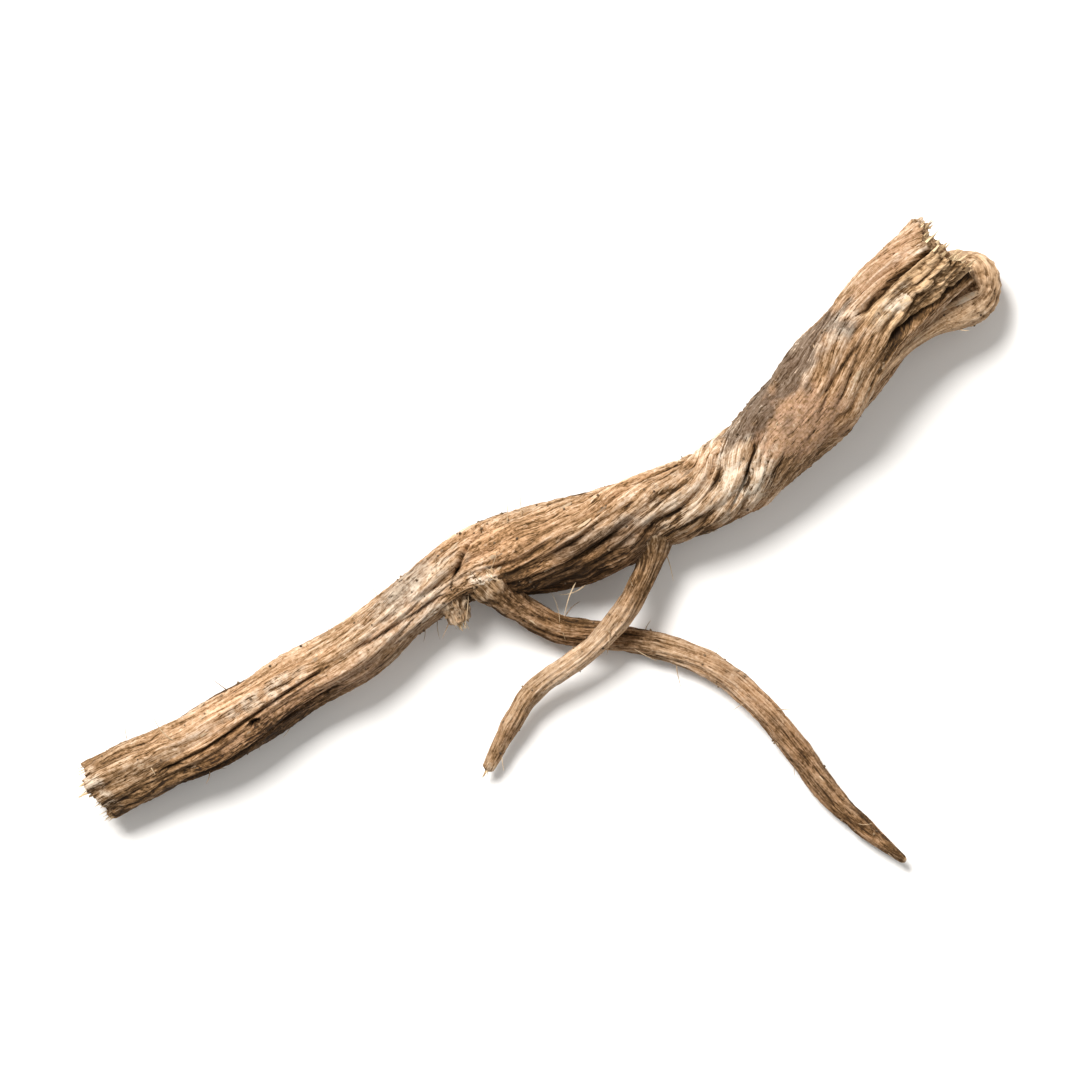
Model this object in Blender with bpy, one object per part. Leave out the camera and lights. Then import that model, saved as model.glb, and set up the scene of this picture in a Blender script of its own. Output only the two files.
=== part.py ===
"""A dried punarnava root, lying on its side as it would on a table.

The root grew as one piece. Its taproot is twisted and furrowed, and the split top shows the fibrous core.
Side roots grow from it: a bent one that carries the split top, two slender ones, and a stub that broke off.
Every length below is in millimetres, and the finished mesh is scaled to metres.
"""

import math

import bmesh
import bpy
import numpy as np
from mathutils import Vector, noise

MM = 0.001

# The taproot from its snapped tip to its split top: along, across, height of the middle, radius, twist in degrees.
TAPROOT = (
    (-57.5, -1.9, 3.5, 3.8, 0),
    (-53.5, -2.1, 3.6, 3.9, 1),
    (-49.0, -2.6, 3.7, 3.7, 2),
    (-42.0, -3.1, 4.2, 3.9, 5),
    (-32.0, -2.9, 5.0, 3.6, 8),
    (-23.0, -2.9, 5.3, 3.6, 10),
    (-16.0, -1.8, 5.3, 3.4, 15),
    (-10.5, -0.9, 5.1, 3.2, 24),
    (-6.0, -1.1, 4.9, 3.8, 34),
    (0.0, -2.8, 4.7, 4.9, 49),
    (8.0, -4.8, 4.9, 5.1, 73),
    (16.0, -6.4, 5.2, 4.7, 106),
    (22.0, -7.5, 5.6, 4.6, 134),
    (28.0, -7.0, 6.1, 4.9, 161),
    (36.0, -4.9, 6.8, 5.2, 192),
    (44.0, -2.2, 7.6, 5.3, 228),
    (52.0, 1.0, 8.8, 5.2, 235),
    (60.5, 3.4, 10.0, 4.9, 217),
)
# The side roots, each from inside the taproot outwards: along, across, height of the middle, radius.
LONG_SIDE_ROOT = (
    (-5.6, -1.2, 5.4, 2.2),
    (-5.2, -4.0, 6.1, 2.2),
    (-3.9, -7.9, 4.4, 1.75),
    (-1.0, -12.6, 2.6, 1.65),
    (3.6, -16.3, 1.75, 1.6),
    (8.6, -20.6, 1.7, 1.55),
    (12.8, -26.1, 1.9, 1.5),
    (15.0, -32.1, 2.1, 1.5),
    (16.3, -39.4, 1.5, 1.5),
    (17.2, -46.2, 1.2, 1.4),
    (18.8, -51.7, 1.5, 1.05),
    (20.7, -56.6, 2.0, 0.5),
)
SHORT_SIDE_ROOT = (
    (14.0, -7.6, 5.2, 1.9),
    (12.6, -10.8, 5.6, 1.4),
    (9.4, -13.3, 5.8, 1.35),
    (5.6, -15.3, 5.5, 1.4),
    (0.4, -16.7, 4.8, 1.3),
    (-6.6, -17.4, 3.7, 1.25),
    (-11.4, -19.6, 2.8, 1.1),
    (-16.4, -22.8, 2.0, 0.7),
)
BENT_SIDE_ROOT = (
    (40.0, -5.4, 8.6, 1.2),
    (44.5, -5.4, 9.9, 1.1),
    (48.0, -4.8, 9.8, 1.05),
    (51.5, -4.1, 9.2, 1.0),
    (55.0, -3.85, 8.1, 1.2),
    (58.4, -4.0, 6.5, 1.9),
    (61.2, -3.6, 5.0, 2.5),
    (62.3, -1.4, 3.7, 2.7),
    (60.6, 0.6, 2.6, 2.5),
    (57.5, 2.0, 1.8, 2.2),
)
BROKEN_STUB = (
    (-9.8, -1.6, 5.6, 1.9),
    (-10.2, -4.2, 5.3, 1.45),
    (-10.5, -6.1, 5.0, 1.2),
)

# Furrows cut between the strands: where each lies uppermost, where it starts and ends, depth, width.
FURROWS = (
    (29.5, 20.0, 33.0, 1.3, 0.7),
    (33.5, 26.0, 36.0, 0.7, 0.5),
    (14.0, 4.0, 22.0, 1.0, 0.7),
    (20.5, 12.0, 30.0, 0.9, 0.6),
    (3.0, -6.0, 12.0, 0.7, 0.6),
    (8.5, -4.0, 17.0, 0.7, 0.6),
)
# Cracks that keep to their own line: start, end, angle round the taproot at each of them, depth, width.
CRACKS = (
    (-50.0, -27.0, 113, 90, 1.1, 0.5),
    (-48.0, -26.0, 147, 143, 1.2, 0.5),
    (-23.0, -10.0, 88, 125, 0.9, 0.45),
    (-24.0, -9.0, 66, 100, 0.6, 0.4),
    (-9.0, 0.5, 98, 22, 0.9, 0.55),
)
# Swellings of the taproot: along, angle round it, half the length, half the width, height.
SWELLINGS = (
    (-1.5, 72, 3.0, 3.0, 0.6),
    (46.5, 55, 4.5, 3.0, 0.7),
    (17.0, 60, 6.0, 3.0, 0.3),
)

COLUMNS = 44
RING_STEP = 1.36
SIDE_RING_STEP = 1.5
SQUASH = 0.95  # height of the taproot's section over its width

STRAND_HEIGHT = 1.5
STRAND_MEAN = 0.24
STRANDS_ROUND = 1.9  # radius of the noise cylinder: it sets how many strands lie side by side
STRAND_LENGTH = 15.0
SIDE_STRAND_HEIGHT = 0.35
SMOOTH_BARK = (34.0, 5.0, 0.35)  # middle, spread and share of the relief left where the bark is smooth

# Where the split top's core shows: along, and the angles round the taproot of the core's two edges.
SPLIT_TOP = (
    (48.5, 71, 127),
    (54.4, 73, 149),
    (60.5, 76, 170),
)
SPLIT_SLOPE = 1.6  # length over which the bark gives way to the core
CORE_DEPTH = 0.8
GROOVE_DEPTH = 1.9
GROOVE_WIDTH = 0.55

# A broken end goes inwards ring by ring: share of the outline that is left, depth of the ring.
SPLIT_TOP_FACE = ((0.78, -1.1), (0.58, -0.5), (0.3, 0.1))
SNAPPED_TIP_FACE = ((0.75, 0.5), (0.42, 1.0))
ROUNDED_FACE = ((0.8, 0.45), (0.45, 0.75))
TORN_EDGE = 1.3  # how far the torn edge of the taproot's ends wanders

LAYOUT_CENTRE = (3.03, -24.46)  # middle of the outline seen from above, which is the part's origin
FLOOR_SIZE = 200.0

BARK_COLOUR = (0.34, 0.225, 0.135, 1.0)
BARK_ROUGHNESS = 0.85


def clear_scene():
    for obj in list(bpy.data.objects):
        bpy.data.objects.remove(obj)


def smooth_rows(stations, step):
    """Rows on a smooth curve through the stations, evenly spaced along it."""
    knots = np.array(stations, float)
    knots = np.vstack([2 * knots[0] - knots[1], knots, 2 * knots[-1] - knots[-2]])
    t = np.linspace(0, 1, 16, endpoint=False)[:, None]
    spans = []
    for a, b, c, d in zip(knots, knots[1:], knots[2:], knots[3:]):
        cubic = (3 * b - a - 3 * c + d) * t**3
        square = (2 * a - 5 * b + 4 * c - d) * t**2
        spans.append(0.5 * (2 * b + (c - a) * t + square + cubic))
    rows = np.vstack([*spans, knots[-2]])
    travelled = np.r_[0, np.cumsum(np.linalg.norm(np.diff(rows[:, :3], axis=0), axis=1))]
    stops = np.linspace(0, travelled[-1], round(travelled[-1] / step) + 1)
    return np.column_stack([np.interp(stops, travelled, column) for column in rows.T])


def carried_frames(points, first_side):
    """For each point of a path, the way onwards and two sides square to it that don't spin along the path."""
    onwards = np.gradient(points, axis=0)
    onwards /= np.linalg.norm(onwards, axis=1)[:, None]
    side = np.array(first_side, float)
    frames = []
    for way in onwards:
        side = side - way * side.dot(way)
        side /= np.linalg.norm(side)
        frames.append((way, side, np.cross(way, side)))
    return frames


def bell(distance, width):
    return math.exp(-((distance / width) ** 2))


def window(x, start, end, fade=3.0):
    """1 between start and end, falling to 0 within the fade inside each."""
    inside = min(x - start, end - x) / fade
    return min(1.0, max(0.0, inside))


def turn_between(a, b):
    """The smallest angle from b to a, in degrees."""
    return (a - b + 180) % 360 - 180


def strand_noise(turn, x, strands, length):
    """0 in the furrows and rising to rounded strands: turn goes round the root with its twist, in degrees."""
    angle = math.radians(turn)
    place = Vector((math.cos(angle) * strands, math.sin(angle) * strands, x / length))
    return abs(noise.noise(place))


def split_relief(x, angle, arc):
    """The split top: the core a little below the bark's surface, between two deep grooves."""
    along, first_edge, last_edge = zip(*SPLIT_TOP)
    opened = min(1.0, max(0.0, (x - along[0]) / SPLIT_SLOPE))
    past_first = turn_between(angle, np.interp(x, along, first_edge)) * arc
    past_last = turn_between(angle, np.interp(x, along, last_edge)) * arc
    on_core = 1.0 if past_first > 0 > past_last else 0.0
    groove = bell(past_first, GROOVE_WIDTH) + bell(past_last, GROOVE_WIDTH)
    return -opened * (CORE_DEPTH * on_core + GROOVE_DEPTH * groove)


def taproot_relief(x, angle, radius, twist, twist_at):
    """How far the taproot's surface stands out from its round section, at an angle round it in degrees."""
    turn = angle + twist
    strand = strand_noise(turn, x, STRANDS_ROUND, STRAND_LENGTH) - STRAND_MEAN
    middle, spread, left = SMOOTH_BARK
    relief = STRAND_HEIGHT * strand * (1 - (1 - left) * bell(x - middle, spread))
    arc = math.radians(1) * radius
    for top, start, end, depth, width in FURROWS:
        off = turn_between(turn, 90 + twist_at(top)) * arc
        relief -= depth * bell(off, width) * window(x, start, end)
    for start, end, at_start, at_end, depth, width in CRACKS:
        off = turn_between(angle, at_start + (at_end - at_start) * (x - start) / (end - start)) * arc
        relief -= depth * bell(off, width) * window(x, start, end)
    for along, at, length, width, height in SWELLINGS:
        relief += height * bell(x - along, length) * bell(turn_between(angle, at) * arc, width)
    return relief + split_relief(x, angle, arc)


def torn_offset(column_angle):
    """How far the torn end reaches at an angle round it: the same broken outline on each side of zero."""
    angle = math.radians(column_angle)
    return TORN_EDGE * noise.noise(Vector((math.cos(angle) * 1.6, math.sin(angle) * 1.6, 7.3)))


def swept_root(rings, face_at_start, face_at_end):
    """A closed mesh through rings of points. Each end closes by rings drawn inwards, then a point.

    A ring is a list of points in order round the root. A face is a list of (share of the outline, depth).
    """
    mesh = bmesh.new()
    count = len(rings[0])
    start = drawn_in(rings[0], rings[1], face_at_start)
    end = drawn_in(rings[-1], rings[-2], face_at_end)
    all_rings = [*reversed(start), *rings, *end]
    bmesh.ops.create_circle(mesh, cap_ends=False, segments=count, radius=1.0)
    column = mesh.verts.layers.int.new("column")
    for index, vertex in enumerate(mesh.verts):
        vertex[column] = index
        vertex.co = all_rings[0][index]
    first = list(mesh.verts)
    edges = list(mesh.edges)
    for ring in all_rings[1:]:
        grown = bmesh.ops.extrude_edge_only(mesh, edges=edges)["geom"]
        last = [item for item in grown if isinstance(item, bmesh.types.BMVert)]
        edges = [item for item in grown if isinstance(item, bmesh.types.BMEdge)]
        for vertex in last:
            vertex.co = ring[vertex[column]]
    for ends in (first, last):
        middle = sum((vertex.co for vertex in ends), Vector()) / count
        bmesh.ops.pointmerge(mesh, verts=ends, merge_co=middle)
    bmesh.ops.recalc_face_normals(mesh, faces=mesh.faces)
    return mesh


def drawn_in(outer, inner_neighbour, face):
    """The rings of an end face, from the outline inwards."""
    outer = np.array(outer)
    middle = outer.mean(axis=0)
    outwards = middle - np.array(inner_neighbour).mean(axis=0)
    outwards /= np.linalg.norm(outwards)
    return [middle + share * (outer - middle) + depth * outwards for share, depth in face]


def taproot():
    rows = smooth_rows(TAPROOT, RING_STEP)
    frames = carried_frames(rows[:, :3], (0, 1, 0))

    def twist_at(x):
        return float(np.interp(x, rows[:, 0], rows[:, 4]))

    rings = []
    for index, (row, (way, side, up)) in enumerate(zip(rows, frames)):
        x, radius, twist = row[0], row[3], row[4]
        at_end = index in (0, len(rows) - 1)
        ring = []
        for column in range(COLUMNS):
            angle = column * 360 / COLUMNS - twist
            out = radius + taproot_relief(x, angle, radius, twist, twist_at)
            round_it = math.radians(angle)
            place = row[:3] + out * (math.cos(round_it) * side + SQUASH * math.sin(round_it) * up)
            if at_end:
                place = place + way * torn_offset(angle)
            ring.append(place)
        rings.append(ring)
    return swept_root(rings, SNAPPED_TIP_FACE, SPLIT_TOP_FACE)


def side_root(stations, columns, face_at_end):
    rows = smooth_rows(stations, SIDE_RING_STEP)
    frames = carried_frames(rows[:, :3], (0, 0, 1))
    rings = []
    for row, (_, side, up) in zip(rows, frames):
        ring = []
        for column in range(columns):
            angle = column * 360 / columns
            lift = strand_noise(angle, row[0] + row[1], 1.0, 9.0) - STRAND_MEAN
            out = row[3] * (1 + SIDE_STRAND_HEIGHT * lift)
            round_it = math.radians(angle)
            ring.append(row[:3] + out * (math.cos(round_it) * side + math.sin(round_it) * up))
        rings.append(ring)
    return swept_root(rings, ROUNDED_FACE, face_at_end)


def object_from(mesh, name, collection):
    data = bpy.data.meshes.new(name)
    mesh.to_mesh(data)
    mesh.free()
    obj = bpy.data.objects.new(name, data)
    collection.objects.link(obj)
    return obj


def apply_boolean(obj, operation, **operand):
    """Applies one Boolean to the object's mesh."""
    modifier = obj.modifiers.new(operation, "BOOLEAN")
    modifier.operation = operation
    modifier.solver = "EXACT"
    for name, value in operand.items():
        setattr(modifier, name, value)
    graph = bpy.context.evaluated_depsgraph_get()
    joined = bpy.data.meshes.new_from_object(obj.evaluated_get(graph))
    obj.modifiers.remove(modifier)
    obj.data = joined


def bark():
    material = bpy.data.materials.new("root_bark")
    material.use_nodes = True
    shader = material.node_tree.nodes["Principled BSDF"]
    shader.inputs["Base Color"].default_value = BARK_COLOUR
    shader.inputs["Roughness"].default_value = BARK_ROUGHNESS
    shader.inputs["Metallic"].default_value = 0.0
    return material


def build():
    clear_scene()
    scene = bpy.context.scene.collection
    root = object_from(taproot(), "punarnava_root", scene)

    side_roots = bpy.data.collections.new("side_roots")
    scene.children.link(side_roots)
    object_from(side_root(LONG_SIDE_ROOT, 12, ROUNDED_FACE), "long_side_root", side_roots)
    object_from(side_root(SHORT_SIDE_ROOT, 10, ROUNDED_FACE), "short_side_root", side_roots)
    object_from(side_root(BENT_SIDE_ROOT, 14, ROUNDED_FACE), "bent_side_root", side_roots)
    object_from(side_root(BROKEN_STUB, 10, SNAPPED_TIP_FACE), "broken_stub", side_roots)
    apply_boolean(root, "UNION", operand_type="COLLECTION", collection=side_roots)

    floor = bmesh.new()
    bmesh.ops.create_cube(floor, size=FLOOR_SIZE)
    bmesh.ops.translate(floor, verts=floor.verts, vec=(0, 0, -FLOOR_SIZE / 2))
    below = object_from(floor, "below_the_floor", side_roots)
    apply_boolean(root, "DIFFERENCE", object=below)

    for helper in list(side_roots.objects):
        bpy.data.objects.remove(helper)
    bpy.data.collections.remove(side_roots)

    mesh = bmesh.new()
    mesh.from_mesh(root.data)
    bmesh.ops.translate(mesh, verts=mesh.verts, vec=(-LAYOUT_CENTRE[0], -LAYOUT_CENTRE[1], 0))
    bmesh.ops.scale(mesh, verts=mesh.verts, vec=(MM, MM, MM))
    bmesh.ops.triangulate(mesh, faces=mesh.faces)
    mesh.to_mesh(root.data)
    mesh.free()
    root.data.materials.clear()
    root.data.materials.append(bark())
    root.data.shade_smooth()


build()
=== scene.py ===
"""The looks of a dried punarnava root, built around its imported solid.

The root is one grown piece. Here it is dressed as a taproot, its side roots, and what clings to them:
torn fibres, fine hairs, lifted bark flakes and dry soil. Lengths are in millimetres in the layout of the
part's source, whose origin is then moved under the middle of the root. Finished meshes are in metres.
"""

from __future__ import annotations

import logging
import math
import random
from dataclasses import dataclass, field
from enum import Enum
from typing import Callable

import bmesh
import bpy
import numpy as np
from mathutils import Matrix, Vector, noise

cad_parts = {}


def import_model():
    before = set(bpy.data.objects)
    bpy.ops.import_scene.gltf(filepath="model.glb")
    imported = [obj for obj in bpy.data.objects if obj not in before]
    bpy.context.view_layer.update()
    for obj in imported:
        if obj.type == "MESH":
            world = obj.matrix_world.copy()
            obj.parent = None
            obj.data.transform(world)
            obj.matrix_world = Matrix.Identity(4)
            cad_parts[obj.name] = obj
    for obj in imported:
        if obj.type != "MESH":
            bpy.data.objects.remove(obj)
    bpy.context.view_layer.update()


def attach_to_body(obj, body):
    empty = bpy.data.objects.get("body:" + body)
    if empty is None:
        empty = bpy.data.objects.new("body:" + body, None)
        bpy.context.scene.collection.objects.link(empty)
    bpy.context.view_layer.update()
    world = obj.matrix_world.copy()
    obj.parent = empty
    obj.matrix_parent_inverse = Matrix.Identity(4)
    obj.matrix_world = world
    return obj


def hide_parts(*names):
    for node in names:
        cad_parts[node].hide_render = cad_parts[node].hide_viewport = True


LOG = logging.getLogger("punarnava_root")

NODE = "punarnava_root"
BODY = "root"

MM = 0.001
LAYOUT_CENTRE = (3.03, -24.46)  # the layout's place of the part's origin
TOP = 90.0  # degrees round a root, counted from +Y over the top
SEED = 7
SEEDS = 90  # each small thing takes its own piece of the noise, from 0 to this
HAIR_ASIDE = (0.3, 0.2, 1.0)  # square to this and to a hair lies the side of its tube
LITTER_HEIGHT = 0.00003  # metres over the table, at the least, of small things
STATION_STEPS = 16  # places worked out from station to station, before rows are evenly spaced
NO_COLLAR = (0.0, 0.0, 1.4)  # no swelling, only worn bark where the root starts
NEAR = 2  # how many points away the neighbours lie that show which way a skin faces
# A broken face is all torn wood from this share of the way inwards on. Then how bright and how mottled
# the torn wood is, and how many mottles lie along a millimetre.
TORN_FROM = 0.3
TORN_TONE = 0.5
TORN_MOTTLING = 0.4
TORN_MOTTLES = 2.4

# The taproot, snapped tip to split top: along, across, height of the middle, radius, twist in degrees.
TAPROOT_STATIONS = (
    (-57.5, -1.9, 3.5, 3.8, 0),
    (-53.5, -2.1, 3.6, 3.9, 1),
    (-49.0, -2.6, 3.7, 3.7, 2),
    (-42.0, -3.1, 4.2, 3.9, 5),
    (-32.0, -2.9, 5.0, 3.6, 8),
    (-23.0, -2.9, 5.3, 3.6, 10),
    (-16.0, -1.8, 5.3, 3.4, 15),
    (-10.5, -0.9, 5.1, 3.2, 24),
    (-6.0, -1.1, 4.9, 3.8, 34),
    (0.0, -2.8, 4.7, 4.9, 49),
    (8.0, -4.8, 4.9, 5.1, 73),
    (16.0, -6.4, 5.2, 4.7, 106),
    (22.0, -7.5, 5.6, 4.6, 134),
    (28.0, -7.0, 6.1, 4.9, 161),
    (36.0, -4.9, 6.8, 5.2, 192),
    (44.0, -2.2, 7.6, 5.3, 228),
    (52.0, 1.0, 8.8, 5.2, 235),
    (60.5, 3.4, 10.0, 4.9, 217),
)
# The side roots, each from inside the taproot outwards: along, across, height of the middle, radius.
LONG_STATIONS = (
    (-5.6, -1.2, 5.4, 2.2),
    (-5.2, -4.0, 6.1, 2.2),
    (-3.9, -7.9, 4.4, 1.75),
    (-1.0, -12.6, 2.6, 1.65),
    (3.6, -16.3, 1.75, 1.6),
    (8.6, -20.6, 1.7, 1.55),
    (12.8, -26.1, 1.9, 1.5),
    (15.0, -32.1, 2.1, 1.5),
    (16.3, -39.4, 1.5, 1.5),
    (17.2, -46.2, 1.2, 1.4),
    (18.8, -51.7, 1.5, 1.05),
    (20.7, -56.6, 2.0, 0.5),
)
SHORT_STATIONS = (
    (14.0, -7.6, 5.2, 1.9),
    (12.6, -10.8, 5.6, 1.4),
    (9.4, -13.3, 5.8, 1.35),
    (5.6, -15.3, 5.5, 1.4),
    (0.4, -16.7, 4.8, 1.3),
    (-6.6, -17.4, 3.7, 1.25),
    (-11.4, -19.6, 2.8, 1.1),
    (-16.4, -22.8, 2.0, 0.7),
)
BENT_STATIONS = (
    (40.0, -5.4, 8.6, 1.2),
    (44.5, -5.4, 9.9, 1.1),
    (48.0, -4.8, 9.8, 1.05),
    (51.5, -4.1, 9.2, 1.0),
    (55.0, -3.85, 8.1, 1.2),
    (58.4, -4.0, 6.5, 1.9),
    (61.2, -3.6, 5.0, 2.5),
    (62.3, -1.4, 3.7, 2.7),
    (60.6, 0.6, 2.6, 2.5),
    (57.5, 2.0, 1.8, 2.2),
)
STUB_STATIONS = (
    (-9.8, -1.6, 5.6, 1.9),
    (-10.2, -4.2, 5.3, 1.45),
    (-10.5, -6.1, 5.0, 1.2),
)
SPLINTER_STATIONS = (
    (56.4, -2.8, 8.2, 0.25),
    (58.2, -2.8, 8.05, 0.34),
    (60.0, -2.9, 7.8, 0.4),
    (61.3, -3.0, 7.75, 0.3),
)
# Where small things are strewn: the skin, the shares of its length, and how many hairs, flakes and crumbs.
STREWN = (
    ("taproot", (0.01, 0.97), 40, 170, 240),
    ("taproot", (0.36, 0.48), 10, 40, 60),
    ("long_side_root", (0.06, 0.98), 12, 24, 40),
    ("short_side_root", (0.15, 0.97), 7, 14, 30),
    ("bent_side_root", (0.5, 0.9), 3, 12, 20),
    ("broken_stub", (0.4, 0.95), 3, 6, 16),
)
# The broken ends: the skin, which end of it (1 its first, -1 its last) and how many splinters.
TORN_ENDS = (("taproot", 1, 60), ("taproot", -1, 70), ("broken_stub", -1, 16), ("short_side_root", -1, 8))


def sampled(source: Callable[[list], float], points: np.ndarray) -> np.ndarray:
    """The values of one of Blender's noises.

    Args:
        source: The noise, which takes one point.
        points: An array whose last axis holds x, y and z.

    Returns:
        The value at each point, in the shape of the other axes.
    """
    flat = points.reshape(-1, 3)
    values = np.fromiter((source(point) for point in flat.tolist()), float, len(flat))
    return values.reshape(points.shape[:-1])


def noise_at(points: np.ndarray) -> np.ndarray:
    """Smooth noise from about -1 to 1 at each point."""
    return sampled(noise.noise, points)


def blocks_at(points: np.ndarray) -> np.ndarray:
    """A random value from 0 to 1 for each unit block of space, at each point."""
    return sampled(noise.cell, points) * 0.5 + 0.5


def points_of(x: np.ndarray, y: np.ndarray | float, z: np.ndarray | float) -> np.ndarray:
    """Points from their three parts, of which some may be the same number everywhere."""
    return np.stack(np.broadcast_arrays(x, y, z), axis=-1)


def bell(distance: np.ndarray, width: float) -> np.ndarray:
    """1 at no distance, falling smoothly to 0 over about twice the width."""
    return np.exp(-((distance / width) ** 2))


def ramp(value: np.ndarray, low: float, high: float) -> np.ndarray:
    """0 up to low, 1 from high on, and a smooth rise between."""
    share = np.clip((value - low) / (high - low), 0.0, 1.0)
    return share * share * (3 - 2 * share)


def window(x: np.ndarray, start: float, end: float, fade: float = 3.0) -> np.ndarray:
    """1 between start and end, falling to 0 within the fade inside each."""
    return np.clip(np.minimum(x - start, end - x) / fade, 0.0, 1.0)


def turn_between(a: np.ndarray, b: np.ndarray | float) -> np.ndarray:
    """The smallest angle from b to a, in degrees."""
    return (a - b + 180) % 360 - 180


def valleys(value: np.ndarray, steepness: float) -> np.ndarray:
    """0 where a noise crosses zero, rising to 1 on both sides."""
    return np.minimum(np.abs(value) * steepness, 1.0)


def unit(vector: np.ndarray) -> np.ndarray:
    """A vector at length 1."""
    return vector / np.linalg.norm(vector)


def roll_up(mesh: bmesh.types.BMesh, places: np.ndarray) -> list[bmesh.types.BMVert]:
    """Adds a grid to a mesh and rolls it up into a closed skin.

    Args:
        mesh: What it is added to. Its layers "ring" and "column", if it has them, are filled in.
        places: Rings by columns by x, y and z. All of the first ring lies at one point, and of the last.

    Returns:
        The points of the skin.
    """
    rings, columns = places.shape[:2]
    layers = [mesh.verts.layers.int.get(name) for name in ("ring", "column")]
    grid = bmesh.ops.create_grid(mesh, x_segments=rings - 1, y_segments=columns, size=1.0)["verts"]
    for vertex in grid:
        spot = (round((vertex.co.x + 1) / 2 * (rings - 1)), round((vertex.co.y + 1) / 2 * columns) % columns)
        for layer, number in zip(layers, spot):
            if layer:
                vertex[layer] = number
        vertex.co = places[spot]
    bmesh.ops.remove_doubles(mesh, verts=grid, dist=1e-8)
    return [vertex for vertex in grid if vertex.is_valid]


def linked(name: str, mesh: bmesh.types.BMesh) -> bpy.types.Object:
    """Turns a mesh into an object of the scene, its faces turned outwards.

    Args:
        name: The name of the object.
        mesh: Its mesh, which is freed.

    Returns:
        The object.
    """
    bmesh.ops.recalc_face_normals(mesh, faces=mesh.faces)
    data = bpy.data.meshes.new(name)
    mesh.to_mesh(data)
    mesh.free()
    return placed(name, data)


def placed(name: str, data: bpy.types.ID) -> bpy.types.Object:
    """Makes an object of some data and puts it in the scene.

    Args:
        name: The name of the object.
        data: Its mesh, light or camera.

    Returns:
        The object.
    """
    thing = bpy.data.objects.new(name, data)
    bpy.context.scene.collection.objects.link(thing)
    return thing


def in_part(points: np.ndarray) -> np.ndarray:
    """Layout millimetres to the part's own metres."""
    return (points - np.array([*LAYOUT_CENTRE, 0.0])) * MM


@dataclass
class Course:
    """The course of one root: evenly spaced rows along it, with the ways square to it at each.

    Attributes:
        rows: Along, across, height, radius and, on the taproot, twist of each row.
        ways: The unit vector onwards at each row.
        sides: A unit vector square to it, which doesn't spin along the course.
        ups: The unit vector square to both.
        travelled: How far each row is from the first.
    """

    rows: np.ndarray
    ways: np.ndarray
    sides: np.ndarray
    ups: np.ndarray
    travelled: np.ndarray

    @classmethod
    def through(cls, stations: tuple, step: float, first_side: tuple) -> Course:
        """A smooth course through the stations.

        Args:
            stations: Rows of numbers that start with along, across and height.
            step: The length from row to row.
            first_side: The side vector at the first row.

        Returns:
            The course.
        """
        knots = np.array(stations, float)
        knots = np.vstack([2 * knots[0] - knots[1], knots, 2 * knots[-1] - knots[-2]])
        t = np.linspace(0, 1, STATION_STEPS, endpoint=False)[:, None]
        spans = []
        for a, b, c, d in zip(knots, knots[1:], knots[2:], knots[3:]):
            cubic = (3 * b - a - 3 * c + d) * t**3
            square = (2 * a - 5 * b + 4 * c - d) * t**2
            spans.append(0.5 * (2 * b + (c - a) * t + square + cubic))
        rough = np.vstack([*spans, knots[-2]])
        reach = np.r_[0, np.cumsum(np.linalg.norm(np.diff(rough[:, :3], axis=0), axis=1))]
        stops = np.linspace(0, reach[-1], round(reach[-1] / step) + 1)
        rows = np.column_stack([np.interp(stops, reach, column) for column in rough.T])
        ways = np.gradient(rows[:, :3], axis=0)
        ways /= np.linalg.norm(ways, axis=1)[:, None]
        side = np.array(first_side, float)
        sides = []
        for way in ways:
            side = side - way * side.dot(way)
            side /= np.linalg.norm(side)
            sides.append(side)
        sides = np.array(sides)
        return cls(rows, ways, sides, np.cross(ways, sides), stops)

    def skin(self, angles: np.ndarray, out: np.ndarray, squash: float = 1.0) -> np.ndarray:
        """Points of the skin.

        Args:
            angles: Degrees round the root, a row of them for each row of the course.
            out: The distance of each point from the course.
            squash: The height of a section over its width.

        Returns:
            The points, as rows by columns by x, y and z.
        """
        round_it = np.radians(angles)[..., None]
        across = np.cos(round_it) * self.sides[:, None] + squash * np.sin(round_it) * self.ups[:, None]
        return self.rows[:, None, :3] + out[..., None] * across


@dataclass(frozen=True)
class Spot:
    """A place on a skin, in layout millimetres, with the ways out of the skin and along the root."""

    place: np.ndarray
    out: np.ndarray
    way: np.ndarray

    @property
    def side(self) -> np.ndarray:
        """The way round the root."""
        return np.cross(self.way, self.out)


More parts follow.
